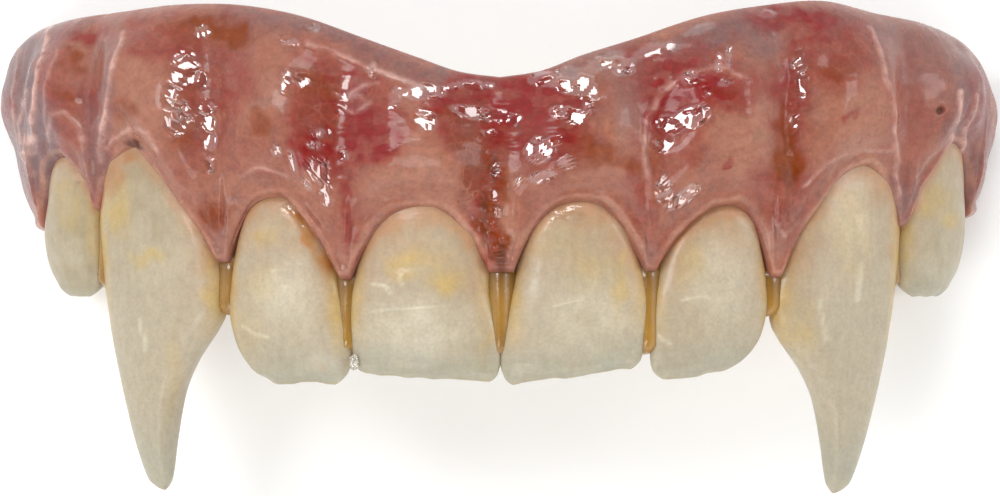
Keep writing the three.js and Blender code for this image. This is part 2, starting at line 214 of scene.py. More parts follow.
# Soft blots of colour on the gum: x, y, half width, half height, turn in degrees and strength. First
# the deep red pools, then orange brown tints, greyish mauve, the pale swellings over the roots, brown
# lobes that lie over each other, and dark pits.
BLOOD = (
    (345, 118, 50, 46, 0, 0.8), (376, 124, 30, 24, 0, 0.8), (322, 156, 30, 18, 0, 0.7),
    (340, 66, 46, 12, 22, 0.55), (472, 116, 34, 36, 0, 0.85), (516, 116, 66, 44, 0, 1.0),
    (492, 196, 9, 50, -4, 0.8), (554, 120, 28, 34, 0, 0.5), (682, 84, 44, 32, -30, 0.75),
    (726, 88, 52, 22, 0, 0.6), (668, 118, 24, 34, 0, 0.75), (648, 62, 30, 16, 0, 0.45),
    (790, 18, 46, 12, 0, 0.7), (834, 48, 44, 34, 0, 0.5), (794, 100, 16, 46, 0, 0.55),
    (88, 37, 20, 9, 0, 0.6), (160, 42, 34, 18, 0, 0.45), (232, 78, 22, 32, 0, 0.4),
    (88, 112, 20, 34, 0, 0.3), (905, 112, 20, 56, 0, 0.35), (976, 106, 12, 44, 0, 0.45),
    (9, 112, 10, 18, 0, 0.6), (60, 98, 16, 50, 0, 0.3), (495, 250, 5, 22, 0, 0.5),
    (347, 206, 8, 60, -6, 0.55), (674, 146, 16, 30, 0, 0.45), (196, 78, 30, 44, 0, 0.35),
    (455, 106, 30, 12, 20, 0.6), (640, 190, 12, 44, -10, 0.35), (770, 190, 14, 36, 0, 0.35),
    (206, 128, 16, 34, 0, 0.35), (800, 180, 20, 30, 0, 0.3), (930, 90, 20, 50, -15, 0.15),
    (727, 165, 9, 6, -30, 0.7), (846, 114, 10, 4, -40, 0.7),
)
SUN = (
    (226, 34, 19, 10, 8, 0.9), (202, 29, 16, 8, 0, 0.45), (188, 34, 22, 16, 0, 0.3),
    (262, 128, 13, 10, 0, 0.45), (80, 61, 9, 6, 0, 0.65), (74, 97, 12, 8, 0, 0.5),
    (124, 112, 14, 10, 0, 0.45), (206, 212, 8, 14, 0, 0.7), (184, 146, 14, 16, 0, 0.35),
    (791, 148, 9, 40, 4, 0.55), (787, 164, 10, 15, 0, 0.5), (612, 168, 44, 8, -4, 0.5),
    (732, 93, 30, 7, 0, 0.15), (584, 86, 18, 14, 0, 0.3), (478, 166, 13, 16, 0, 0.75),
    (470, 146, 14, 14, 20, 0.5), (596, 150, 22, 12, 0, 0.45), (455, 120, 16, 10, 0, 0.35),
    (212, 224, 12, 8, 0, 0.5), (835, 66, 22, 10, 0, 0.35), (318, 78, 18, 12, 0, 0.45),
    (470, 190, 14, 16, 0, 0.35), (494, 222, 6, 30, 0, 0.6), (504, 192, 6, 16, -8, 0.6),
    (505, 248, 7, 16, 0, 0.75),
)
MIST = (
    (18, 92, 26, 84, 0, 1.0), (103, 92, 11, 50, 10, 0.55), (632, 92, 20, 40, -10, 0.35),
    (700, 40, 56, 16, -22, 0.65), (758, 36, 34, 20, 0, 0.5), (936, 56, 52, 30, 24, 0.5),
    (970, 128, 20, 70, 0, 0.7), (92, 156, 12, 34, 0, 0.5), (214, 240, 12, 22, 0, 0.3),
    (40, 150, 22, 50, 0, 0.7), (330, 32, 60, 10, 12, 0.55), (420, 68, 60, 10, 16, 0.5),
    (560, 62, 70, 10, -14, 0.5), (780, 228, 14, 24, 0, 0.3), (650, 258, 14, 16, 0, 0.3),
    (352, 268, 14, 16, 0, 0.2), (905, 206, 14, 34, 0, 0.6), (250, 22, 50, 12, 0, 0.35),
    (60, 30, 40, 16, -30, 0.5), (866, 24, 50, 16, 8, 0.4), (790, 14, 54, 12, 0, 0.35),
    (500, 284, 14, 12, 0, 0.2),
)
CREAM = (
    (140, 96, 26, 52, 0, 0.75), (418, 178, 50, 38, 0, 0.7), (622, 148, 26, 52, 0, 0.5),
    (738, 138, 42, 44, 0, 0.75), (862, 128, 42, 46, 0, 0.8), (270, 86, 24, 62, 0, 0.45),
    (268, 186, 34, 22, -10, 0.35), (190, 205, 22, 26, 20, 0.25), (570, 190, 40, 12, 0, 0.35),
    (511, 222, 9, 40, 0, 0.75), (472, 224, 9, 24, -30, 0.7), (74, 128, 18, 20, 0, 0.4),
    (924, 60, 34, 30, 0, 0.8), (410, 130, 24, 16, 0, 0.3), (214, 248, 14, 12, 0, 0.6),
    (652, 258, 12, 14, 0, 0.6), (778, 244, 12, 14, 0, 0.6), (346, 262, 10, 14, 0, 0.4),
)
SCALES = (
    (472, 128, 20, 30, 0, 0.9), (478, 176, 14, 30, 0, 1.0), (322, 92, 18, 30, 0, 0.45),
    (330, 124, 22, 22, 0, 0.4), (360, 92, 20, 14, 0, 0.3), (206, 62, 16, 24, 0, 0.35),
    (560, 118, 30, 24, 0, 0.3), (514, 150, 18, 24, 0, 0.35), (160, 36, 40, 16, 0, 0.2),
    (690, 60, 40, 16, -20, 0.25), (846, 56, 36, 24, 0, 0.25), (14, 96, 14, 50, 0, 0.3),
    (970, 120, 18, 50, 0, 0.3), (666, 150, 14, 40, 0, 0.35), (786, 200, 16, 26, 0, 0.35),
    (210, 216, 10, 18, 0, 0.4),
)
SOOT = (
    (131, 143, 7, 4, 0, 0.9), (138, 146, 5, 2.5, 30, 0.8), (942, 110, 3.4, 3.4, 0, 0.9),
    (495, 168, 5, 16, 0, 0.5), (503, 262, 5, 18, 0, 0.6), (477, 166, 10, 9, 0, 0.3),
    (486, 214, 4, 26, 0, 0.5), (790, 178, 8, 10, 0, 0.35),
)

# Raised and sunken areas of the gum: x, y, half width, half height, turn and height
SWELLS = (
    (724, 152, 80, 88, 0, 0.26), (140, 108, 34, 78, 6, 0.2), (862, 116, 40, 84, 0, 0.24),
    (416, 172, 56, 44, 0, 0.16), (516, 122, 74, 46, 0, -0.3), (345, 120, 42, 48, 0, -0.22),
    (272, 90, 26, 70, 0, 0.14), (64, 120, 20, 90, 6, 0.14), (204, 110, 20, 80, 0, -0.2),
    (620, 130, 24, 70, -8, 0.14), (672, 116, 22, 34, 0, -0.16), (794, 120, 10, 70, 0, -0.2),
    (92, 80, 9, 60, 8, -0.16), (131, 143, 7, 5, 0, -0.2), (942, 110, 3.5, 3.5, 0, -0.16),
    (905, 110, 9, 60, 0, -0.16),
)

# Thin raised lines: half width, height, how pale, partly as a painted highlight along the crest, and the
# places they run through
RIDGES = (
    (3.0, 0.16, 0.75, ((52, 24), (41, 70), (33, 112), (28, 152))),
    (2.5, 0.1, 0.5, ((22, 50), (14, 90), (17, 128), (26, 160))),
    (2.5, 0.08, 0.45, ((28, 92), (21, 122), (30, 176))),
    (3.4, 0.2, 0.8, ((124, 34), (117, 58), (108, 100), (98, 140), (96, 160))),
    (3.0, 0.1, 0.5, ((97, 152), (112, 138), (134, 127), (150, 134), (158, 150))),
    (3.0, 0.08, 0.45, ((42, 140), (54, 116), (68, 112), (80, 128), (84, 150))),
    (3.4, 0.18, 0.6, ((308, 44), (336, 52), (368, 66), (398, 76), (424, 86))),
    (2.5, 0.1, 0.4, ((332, 92), (346, 97), (362, 84), (378, 82))),
    (2.5, 0.1, 0.4, ((340, 104), (356, 112), (372, 100))),
    (3.4, 0.16, 0.5, ((650, 196), (644, 152), (648, 118), (662, 92), (686, 74), (716, 66), (748, 78))),
    (3.4, 0.2, 0.55, ((872, 28), (884, 62), (893, 106), (900, 150), (903, 196))),
    (2.8, 0.08, 0.45, ((806, 186), (834, 160), (866, 150), (898, 150))),
    (3.2, 0.18, 0.9, ((961, 92), (962, 120), (958, 146), (966, 176))),
    (2.8, 0.14, 0.7, ((978, 96), (972, 132), (968, 166))),
    (2.6, 0.12, 0.6, ((772, 244), (775, 218), (786, 236), (802, 222))),
    (2.4, 0.08, 0.4, ((240, 176), (262, 168), (286, 176))),
    (2.2, 0.08, 0.35, ((60, 52), (48, 92), (44, 130))),
)

# Small beads of gum in chains: x, y, radius and height
BEADS = (
    (492, 156, 6, 0.2), (498, 170, 5, 0.18), (490, 184, 6, 0.22), (497, 198, 6, 0.24), (490, 212, 6, 0.2),
    (496, 226, 5, 0.22), (491, 238, 5, 0.18), (498, 250, 5, 0.2), (494, 262, 4, 0.16), (505, 240, 4, 0.14),
    (484, 200, 4, 0.12), (483, 226, 4, 0.12), (800, 60, 6, 0.16), (803, 72, 5, 0.18), (799, 84, 5, 0.2),
    (803, 94, 4, 0.16), (796, 106, 4, 0.16), (798, 118, 5, 0.18), (795, 130, 4, 0.14), (797, 142, 4, 0.14),
    (792, 156, 4, 0.1), (305, 82, 8, 0.16), (430, 96, 12, 0.16), (342, 152, 5, 0.08), (568, 162, 7, 0.12),
)

# Places where the gum set in wet, crinkled flakes: x, y, half width, half height, turn and strength
WET = (
    (186, 62, 12, 10, 0, 1), (182, 78, 11, 12, 0, 1), (172, 96, 8, 10, 0, 1), (179, 118, 13, 18, 0, 1),
    (196, 78, 14, 8, 20, 0.8), (206, 108, 10, 8, 0, 1), (206, 124, 12, 10, 0, 1),
    (212, 140, 7, 12, 0, 0.9), (212, 165, 4, 9, 0, 0.9), (204, 33, 8, 6, 0, 0.7),
    (292, 43, 9, 3.5, 0, 0.8), (288, 82, 4.5, 13, 12, 1), (305, 82, 8, 7, 0, 0.8),
    (277, 151, 4, 7, 0, 0.9), (293, 161, 4, 11, -10, 1), (306, 184, 8, 4, 35, 0.8),
    (322, 134, 11, 5, 0, 1), (316, 146, 9, 5, 0, 0.9), (318, 170, 12, 12, 0, 1), (326, 188, 7, 10, 0, 1),
    (327, 202, 7, 5, 0, 1), (345, 156, 6, 5, 0, 0.6), (372, 68, 5, 8, 0, 0.8), (396, 98, 7, 12, 20, 0.9),
    (426, 92, 22, 9, 0, 0.8), (428, 122, 12, 12, 20, 1), (314, 28, 6, 5, 0, 0.7),
    (350, 84, 24, 12, 0, 0.35), (352, 104, 24, 12, 0, 0.35), (472, 86, 26, 4, -3, 0.8),
    (474, 112, 24, 8, 10, 0.6), (505, 118, 18, 6, 0, 0.9), (490, 134, 10, 4, 0, 0.6),
    (496, 172, 5, 7, 0, 0.9), (496, 196, 5, 6, 0, 0.9), (500, 212, 4, 8, 0, 0.8),
    (548, 80, 20, 7, -8, 0.8), (574, 80, 22, 14, 0, 1), (590, 92, 10, 12, 0, 1),
    (606, 62, 22, 8, -24, 0.9), (562, 112, 14, 6, 0, 0.9), (578, 118, 10, 8, 0, 0.9),
    (588, 108, 5, 10, 0, 0.8), (540, 150, 14, 13, 0, 1), (556, 140, 8, 5, 0, 0.8), (568, 162, 9, 8, 0, 1),
    (518, 181, 5, 5, 0, 1), (543, 175, 13, 6, -12, 1), (690, 80, 9, 7, -35, 0.9),
    (719, 62, 4, 10, 0, 0.8), (730, 58, 4, 12, 5, 0.8), (706, 92, 3.5, 5, 0, 1),
    (725, 82, 8, 4, -20, 0.9), (688, 118, 22, 12, -25, 1), (668, 122, 10, 10, 0, 0.7),
    (664, 146, 10, 8, 0, 0.8), (664, 192, 8, 14, -10, 1), (672, 206, 9, 5, 0, 1),
    (684, 200, 12, 8, -35, 1), (693, 191, 9, 6, -30, 1), (800, 64, 6, 12, 0, 0.8),
    (803, 88, 6, 12, 0, 0.9), (797, 122, 4, 8, 0, 0.9), (626, 68, 14, 8, -20, 0.5),
    (700, 30, 20, 6, -20, 0.4), (770, 14, 12, 5, 0, 0.4), (655, 50, 26, 8, -22, 0.4),
    (560, 130, 30, 20, 0, 0.25),
)

# Wet places set in flat flakes that each turn to the nearest light: their size, how far each strays by
# chance, how steep they get, how crisp their places are, and the strength from which they show. Then the
# smallest step and the smallest turn outwards that a slope is divided by.
FLAKE_SIZE = 1.0
FLAKE_LUCK = 0.05
STEEPEST_FLAKE = 0.8
WET_HARDNESS = 0.75
WET_EDGE = (0.25, 0.6)
LEAST_STEP = 1e-4
LEAST_FACING = 0.2

# Waves that carry the marks on the gum off their ovals: size in millimetres and reach on the front view,
# the seeds across and down, and the share of this drift that the relief follows
DRIFT_WAVES = ((2, 9), (1, 6), (0.5, 4))
DRIFT_SEEDS = (100, 200)
RELIEF_DRIFT = 0.2

# Uneven surface of the gum: height of each wave, its size along the arch and up, and its seed. The last
# one shows in the red pools alone.
GUM_WAVES = ((0.08, 2.6, 2.6, 5), (0.03, 1.0, 0.8, 6))
POOL_WAVE = (0.03, 0.9, 0.28, 7)

# Where a swell starts to fall and ends, as shares of its half size, how much of a ridge's width and
# height is used, and how sharp a bead is
SWELL_FALL = (0.4, 1.3)
RIDGE_SHARE = 0.6
BEAD_SHARPNESS = 1.4

# Rolled edge of the gum: how far up the roll and the groove over it lie, how wide both are, the groove's
# share of the roll's height, and how far the edge wanders
ROLL_PLACE = 0.42
GROOVE_PLACE = 1.05
ROLL_WIDTH = 0.3
GROOVE_SHARE = 0.6
EDGE_WANDER = 0.12

# Thinner edge of the gum: by how much over the roots, the share of that between them, how far up it
# reaches, and where it starts and is full beside the midline
LIP_THINNING = 0.6
POINT_THINNING = 0.45
THINNING_HEIGHT = 2.6
THINNING_START = (0.6, 2.5)

# Deepest and highest relief of the gum, the gloss of its dry parts, and where it fades at the ends
DEEPEST = 0.9
HIGHEST = 0.6
DRY_GLOSS = 0.05
DULL_ENDS = (31, 37)

# Tints on the gum: their blots, how crisp these are, and a factor on their strength. Pools and ridges
# also vary from patch to patch, and the patches are drawn out across.
GUM_TINTS = {
    "cream": (CREAM, 0.4, 0.9), "mist": (MIST, 0.3, 1), "blood": (BLOOD, 0.45, 1.05),
    "sun": (SUN, 0.4, 1.25), "scales": (SCALES, 0.4, 1),
}
PATCH_SIZE = 9
PATCH_STRETCH = 1.6

# Pale line on the gum's rolled edge: how far up it lies, and where it fades on both sides of that
RIM_PLACE = 0.34
RIM_FADE = (0.05, 0.3)

# Painted shade with some staining: a dark line where the gum meets the teeth, standing in for the shadow
# under the gum's edge. Its strength, and where it fades
GUM_EDGE_SHADOW_STRENGTH = 0.55
GUM_EDGE_SHADOW_FADE = (-0.32, 0.06)

# Fine brown lobes in the gum's colour: how many to a metre, and the waves of their outlines, as how many
# to a metre and how far they reach
LOBE_COUNT = 1100.0
LOBE_WAVES = 900.0
LOBE_DRIFT = 1.1 * MILLIMETRE

# Soft blots of colour on the teeth, in the same columns. First painted shade, darker and duller, over the
# parts that lie deeper, then yellow patches, brown stains and pale milky patches.
PAINTED_SHADE = (
    (150, 200, 40, 62, 0, 0.8), (74, 230, 30, 70, 0, 1.0), (940, 220, 38, 66, 0, 0.8),
    (92, 260, 10, 40, 0, 0.4), (285, 370, 40, 14, 10, 0.25), (420, 372, 60, 10, 0, 0.25),
    (576, 378, 60, 12, 0, 0.25), (690, 372, 40, 12, 0, 0.25),
)
HONEY = (
    (150, 258, 14, 8, 0, 0.8), (120, 208, 12, 22, 0, 0.6), (268, 236, 10, 8, 0, 0.5),
    (404, 262, 16, 12, 0, 0.7), (448, 282, 18, 12, 0, 0.6), (430, 262, 20, 16, 0, 0.4),
    (556, 240, 24, 14, 0, 0.35), (622, 282, 8, 24, 0, 0.6), (690, 262, 14, 20, 0, 0.4),
    (950, 222, 9, 8, 0, 0.8), (930, 200, 18, 18, 0, 0.5), (852, 236, 16, 40, 0, 0.3),
    (68, 206, 10, 26, -14, 0.5), (262, 280, 12, 20, 0, 0.25), (590, 268, 22, 16, 0, 0.25),
    (800, 330, 16, 26, 0, 0.35), (214, 300, 8, 24, 0, 0.6), (340, 320, 5, 30, 0, 0.6),
    (486, 320, 5, 36, 0, 0.5), (650, 320, 6, 30, 0, 0.5), (250, 330, 10, 26, 0, 0.25),
    (176, 380, 10, 40, 0, 0.3), (905, 262, 8, 26, 0, 0.5),
)
RUST = (
    (315, 240, 10, 28, -22, 1.6), (305, 216, 7, 10, -30, 0.8), (116, 176, 8, 14, 20, 0.6),
    (133, 152, 9, 6, 0, 0.9), (98, 186, 4, 22, 0, 0.6), (772, 270, 5, 26, 0, 0.3),
    (896, 234, 4, 24, 0, 0.3), (228, 290, 5, 24, 0, 0.3), (681, 236, 5, 12, 20, 0.4),
    (353, 360, 5, 8, 0, 0.2), (322, 370, 10, 5, 20, 0.15), (104, 280, 3, 20, 0, 0.4),
)
BONE = (
    (160, 240, 26, 44, 0, 0.4), (288, 300, 30, 30, 0, 0.4), (420, 330, 46, 24, 0, 0.5),
    (590, 320, 40, 40, 0, 0.4), (716, 280, 28, 40, 0, 0.35), (852, 200, 20, 50, 0, 0.35),
    (78, 250, 14, 30, 0, 0.6), (938, 262, 18, 22, 0, 0.5),
)

# Places where the teeth are wet and crinkled
TOOTH_WET = (
    (288, 206, 7, 5, 30, 1), (293, 211, 5, 5, 0, 1), (304, 222, 2.5, 6, 0, 0.7), (574, 214, 16, 8, 0, 1),
    (556, 217, 8, 4, -30, 0.8), (706, 218, 3, 6, 20, 1), (80, 178, 4, 5, 0, 1), (164, 200, 3, 6, -30, 0.6),
    (699, 240, 2, 2, 0, 0.6), (353, 330, 2, 2, 0, 0.5), (343, 312, 2, 2, 0, 0.5),
)

# Fine raised marks on the teeth: height, and the places they run through
SCRATCHES = (
    (0.03, ((374, 284), (386, 287), (392, 294))), (0.02, ((372, 312), (404, 309), (446, 306))),
    (0.05, ((401, 275), (403, 284))), (0.03, ((275, 271), (284, 282), (290, 294))),
    (0.03, ((244, 326), (256, 334), (268, 337))), (0.02, ((556, 306), (580, 300), (604, 304))),
    (0.03, ((660, 336), (672, 344))), (0.02, ((684, 300), (704, 296), (716, 300))),
    (0.02, ((820, 300), (828, 340))), (0.03, ((164, 196), (170, 206))), (0.02, ((140, 320), (148, 350))),
    (0.03, ((860, 184), (862, 240), (860, 300))),
)

# How each tooth's face is finished: how sharply its neck turns in, how wavy and chipped its edge is,
# and how strong the lobes of its face are, in millimetres
TOOTH_TOUCHES = {
    "premolar_left": (0.12, 0.02, 0.02), "fang_left": (0.06, 0.0, 0.03),
    "lateral_incisor_left": (0.3, 0.13, 0.05), "central_incisor_left": (0.08, 0.07, 0.05),
    "central_incisor_right": (0.3, 0.09, 0.05), "lateral_incisor_right": (0.3, 0.1, 0.05),
    "fang_right": (0.06, 0.0, 0.06), "premolar_right": (0.06, 0.03, 0.02),
}

# How much fuller a tooth is at its neck, where the gum hides its outline, and how much further its
# lower corner reaches towards the midline and its side away from it, as shares of the width
NECK_FULLNESS = 0.35
NECK_SPREAD = 0.07
TOOTH_CORNERS = {
    "lateral_incisor_left": (0.1, 0.03), "central_incisor_left": (0.05, 0.012),
    "central_incisor_right": (0.068, 0.03), "lateral_incisor_right": (0.01, 0.01),
}

# Shares of the crown at which the fuller neck ends, the wider neck ends, the corner grows and draws back,
# the side grows and ends, the lobes of the face grow, and the chips start
FULLNESS_END = (0, 0.35)
SPREAD_END = (0.05, 0.5)
CORNER_RISE = (0.4, 0.82)
CORNER_FALL = (0.87, 1)
SIDE_RISE = (0.1, 0.35)
SIDE_FALL = (0.6, 0.9)
LOBE_RISE = (0.2, 0.7)
CHIP_START = (0.88, 1)

# How flat a tooth ends, how far its edge draws in as a share of its rounding, how long a chip is, and how
# far below the gum its neck turns in
EDGE_FLAT = 0.06
EDGE_DRAW = 0.6
CHIP_SIZE = 0.8
NECK_TURN = 0.45

# Waves on the teeth, as on the gum, with steps from each tooth's own seed
TOOTH_WAVES = ((0.03, 2.2, 2.2, 1), (0.005, 2.5, 0.35, 2))

# Size and crispness of the flakes on the teeth, width of the scratches, and how large the waves are that
# carry the colours off their ovals, and how far they reach
TOOTH_FLAKE = 0.7
TOOTH_WET_HARDNESS = 0.7
SCRATCH_WIDTH = 1.8
STAIN_WAVE = 14
STAIN_DRIFT = 6

# Soft lights: direction from the denture, width and height in metres, and power in watts. The wet flakes
# turn to these four, and a broad one fills the shadows.
LIGHTS = {
    "light_key": ((-0.42, 0.27, 0.86), (0.07, 0.09), 0.26),
    "light_top": ((0.05, 0.64, 0.76), (0.09, 0.05), 0.14),
    "light_right": ((0.82, 0.24, 0.5), (0.07, 0.09), 0.12),
    "light_low": ((-0.26, -0.3, 0.92), (0.07, 0.09), 0.14),
}
FILL_LIGHT = ((0, -0.75, 0.66), (0.5, 0.25), 0.3)
LIGHT_DISTANCE = 0.3

# Sky: its strength overhead, and how far up its fall to that starts and ends, where 1 is overhead
OVERHEAD = 0.12
SKY_FALL = (0.6, 0.9)

# Height of the camera and size of the floor, in metres
CAMERA_HEIGHT = 0.322
FLOOR_SIZE = 4.0


def linear(red, green, blue):
    """A colour given as it looks on a screen, from 0 to 255, as Blender's own values."""
    return tuple(Color((red / 255, green / 255, blue / 255)).from_srgb_to_scene_linear())


def smooth(value, low=0.0, high=1.0):
    """0 up to low, 1 from high, and a smooth rise between."""
    share = np.clip((value - low) / (high - low), 0, 1)
    return share * share * (3 - 2 * share)


def bell(value, width):
    """1 at 0, falling away smoothly on both sides."""
    return np.exp(-(value / width) ** 2)


def each(function, places):
    """A function of one place, at every place in an array."""
    return np.array([function(place) for place in places.ravel()]).reshape(places.shape)


def soften(rows):
    """Rows of values, each value evened out with its two neighbours."""
    return (np.roll(rows, 1, 1) + 2 * rows + np.roll(rows, -1, 1)) / 4


def read_rows(rows, column, at):
    """A column of a table at any places along its first column, as a smooth curve through the rows."""
    keys = np.array([row[0] for row in rows], float)
    values = np.array([row[column] for row in rows], float)
    place = np.clip(at, keys[0], keys[-1])
    left = np.clip(np.searchsorted(keys, place, side="left") - 1, 0, len(keys) - 2)
    before, after = np.maximum(left - 1, 0), np.minimum(left + 2, len(keys) - 1)
    step = keys[left + 1] - keys[left]
    share = (place - keys[left]) / step
    leaving = (values[left + 1] - values[before]) / (keys[left + 1] - keys[before]) * step
    arriving = (values[after] - values[left]) / (keys[after] - keys[left]) * step
    rise = values[left + 1] - values[left]
    return (values[left] + share * leaving + share ** 2 * (3 * rise - 2 * leaving - arriving)
            + share ** 3 * (leaving + arriving - 2 * rise))


def arch_line():
    """The right half of the arch line: lengths along it, and the place and heading at each."""
    angle = np.linspace(0, math.pi / 2, ARCH_STEPS)
    x, z = ARCH_HALF_WIDTH * np.sin(angle), ARCH_LEG + ARCH_RISE * np.cos(angle)
    length = np.concatenate([[0], np.cumsum(np.hypot(np.diff(x), np.diff(z)))])
    heading_x, heading_z = ARCH_HALF_WIDTH * np.cos(angle), -ARCH_RISE * np.sin(angle)
    norm = np.hypot(heading_x, heading_z)
    return np.array([
        np.append(length, length[-1] + ARCH_LEG), np.append(x, ARCH_HALF_WIDTH), np.append(z, 0),
        np.append(heading_x / norm, 0), np.append(heading_z / norm, -1)])


ARCH = arch_line()
HALF_LENGTH = ARCH[0, -1]


def arch_frame(along):
    """Foot and heading of the arch line at each place along it, and the side it is on."""
    reached = np.abs(along)
    return [np.interp(reached, ARCH[0], row) for row in ARCH[1:]] + [np.where(along < 0, -1.0, 1.0)]


def arch_point(along, height, offset):
    """Points in the frame, in millimetres, as an array with x, y and z last."""
    foot_x, foot_z, heading_x, heading_z, side = arch_frame(along)
    x = side * (foot_x - heading_z * offset) + ORIGIN_X
    return np.stack(np.broadcast_arrays(x, height + ORIGIN_Y, foot_z + heading_x * offset), axis=-1)


def front_view(points):
    """Where points are seen on the flat front view."""
    shrink = VIEW_STEPS / (1 + (FRONT_DEPTH - points[..., 2]) / VIEW_DISTANCE)
    height = points[..., 1] - ORIGIN_Y - VIEW_HEIGHT
    return VIEW_MIDDLE[0] + points[..., 0] * shrink, VIEW_MIDDLE[1] - height * shrink


def place_teeth():
    """Every tooth with its place along the arch, and its room from gap to gap, in millimetres."""
    teeth = []
    for side, rows in SIDES.items():
        reached = MIDLINE_GAP / 2
        low = MIDLINE_PAPILLA * CROWN_HEIGHT
        for index, row in enumerate(rows):
            tooth = dict(zip(TOOTH_COLUMNS, row))
            gap, width = tooth["gap"] * INCISOR_WIDTH, tooth["width"] * INCISOR_WIDTH
            following = rows[index + 1][1] * INCISOR_WIDTH if index + 1 < len(rows) else 2 * CLEARANCE
            tooth.update(
                name=f"{tooth['kind']}_{side}", sign=-1 if side == "left" else 1, width=width,
                centre=reached + gap + width / 2, start=reached + gap / 2,
                end=reached + gap + width + following / 2, before=low)
            reached += gap + width
            for key in ("neck", "edge", "slope", "papilla"):
                tooth[key] *= CROWN_HEIGHT
            low = tooth["papilla"]
            teeth.append(tooth)
    return teeth


TEETH = place_teeth()


def tooth_at(along):
    """The tooth in whose room a place along the arch falls, or the last one."""
    row = [tooth for tooth in TEETH if tooth["sign"] == (-1 if along < 0 else 1)]
    return next((tooth for tooth in row if abs(along) <= tooth["end"]), row[-1])


def margin_height(along):
    """How high the gum's edge stands at one place: a round arch over each tooth, pointed between."""
    tooth = tooth_at(along)
    peak = tooth["centre"] + tooth["zenith"] * tooth["width"]
    away = abs(along) - peak
    reach = (tooth["start"] if away < 0 else tooth["end"]) - peak
    share = min(PAPILLA_WIDTH * away / reach, 1)
    low, power = (tooth["before"], tooth["inner"]) if away < 0 else (tooth["papilla"], tooth["outer"])
    return low + (tooth["neck"] - low) * (1 - share ** power)


def root_share(along):
    """1 over a root and 0 between roots, at one place."""
    tooth = tooth_at(along)
    away = abs(along) - tooth["centre"]
    reach = (tooth["start"] if away < 0 else tooth["end"]) - tooth["centre"]
    return float(1 - smooth(away / reach, ROOT_FLAT, 1))


def end_share(along):
    """0 along the front of the arch, rising to 1 at its ends."""
    left, right = (tooth["centre"] for tooth in TEETH if tooth["kind"] == "premolar")
    return smooth(np.abs(along), np.where(along < 0, left, right), HALF_LENGTH - ARCH_LEG)


def border_at(along):
    """Height of the gum's top border."""
    share = np.abs(along) / HALF_LENGTH
    left, right = read_rows(BORDER_LINE, 1, share), read_rows(BORDER_LINE, 2, share)
    return np.where(along < 0, left, right) * BORDER_HEIGHT


def lattice_noise(x, y, seed):
    """Smooth noise from -1 to 1 over a plane, one bump to a unit."""
    grid = np.random.default_rng(int(seed)).uniform(-1, 1, (NOISE_CELLS, NOISE_CELLS))
    column, row = np.floor(x).astype(int), np.floor(y).astype(int)
    across, down = smooth(x - column), smooth(y - row)
    right, below = (column + 1) % NOISE_CELLS, (row + 1) % NOISE_CELLS
    column, row = column % NOISE_CELLS, row % NOISE_CELLS
    upper = grid[column, row] * (1 - across) + grid[right, row] * across
    lower = grid[column, below] * (1 - across) + grid[right, below] * across
    return upper * (1 - down) + lower * down


def flake_cells(x, y, size, seed):
    """Splits a plane into random cells. For each place, how far it is from the middle of its cell, both
    ways, and the cell's two random numbers."""
    rng = np.random.default_rng(seed)
    jitter = rng.uniform(0, 1, (NOISE_CELLS, NOISE_CELLS, 2))
    chance = rng.uniform(-1, 1, (NOISE_CELLS, NOISE_CELLS, 2))
    column, row = np.floor(x / size).astype(int), np.floor(y / size).astype(int)
    nearest = np.full(x.shape, np.inf)
    found = np.zeros((4,) + x.shape)
    for step_x in (-1, 0, 1):
        for step_y in (-1, 0, 1):
            cell_x, cell_y = column + step_x, row + step_y
            spread = jitter[cell_x % NOISE_CELLS, cell_y % NOISE_CELLS]
            away_x = x / size - cell_x - spread[..., 0]
            away_y = y / size - cell_y - spread[..., 1]
            distance = away_x ** 2 + away_y ** 2
            closer = distance < nearest
            nearest = np.where(closer, distance, nearest)
            luck = chance[cell_x % NOISE_CELLS, cell_y % NOISE_CELLS]
            values = np.stack([away_x * size, away_y * size, luck[..., 0], luck[..., 1]])
            found = np.where(closer, values, found)
    return found


def oval(x, y, place):
    """Distance from the middle of a turned oval, as a share of its half size."""
    middle_x, middle_y, half_x, half_y, turn = place
    cosine, sine = math.cos(math.radians(turn)), math.sin(math.radians(turn))
    away_x, away_y = x - middle_x, y - middle_y
    return np.hypot((away_x * cosine + away_y * sine) / half_x, (away_y * cosine - away_x * sine) / half_y)


def blots(x, y, places, hardness=0.6):
    """Soft spots over a surface, from 0 to 1. A higher hardness gives a crisper rim."""
    bare = np.ones(x.shape)
    for *place, strength in places:
        bare *= 1 - strength * (1 - smooth(oval(x, y, place), hardness, 2 - hardness))
    return 1 - bare


def line_distance(x, y, places):
    """Distance of every point from a line through places."""
    nearest = np.full(x.shape, np.inf)
    for (from_x, from_y), (to_x, to_y) in zip(places, places[1:]):
        run_x, run_y = to_x - from_x, to_y - from_y
        share = np.clip(((x - from_x) * run_x + (y - from_y) * run_y) / (run_x ** 2 + run_y ** 2), 0, 1)
        nearest = np.minimum(nearest, np.hypot(x - from_x - share * run_x, y - from_y - share * run_y))
    return nearest


def grid_faces(rings, size):
    """Faces of a closed tube of rings, four corners each."""
    ring, point = np.meshgrid(np.arange(rings - 1), np.arange(size), indexing="ij")
    following = (point + 1) % size
    here, beyond = ring * size, (ring + 1) * size
    corners = [here + point, here + following, beyond + following, beyond + point]
    return np.stack(corners, axis=-1).reshape(-1, 4)


def ring_cap(first, size):
    """One face over a whole ring."""
    return [list(range(first, first + size))]


def strip_cap(first, size):
    """Faces over one flat ring, in strips from side to side."""
    half, last = size // 2, first + size
    strips = [[first + i, first + i + 1, last - i - 1, last - i] for i in range(1, half - 1)]
    return strips + [[first, first + 1, last - 1], [first + half - 1, first + half, first + half + 1]]


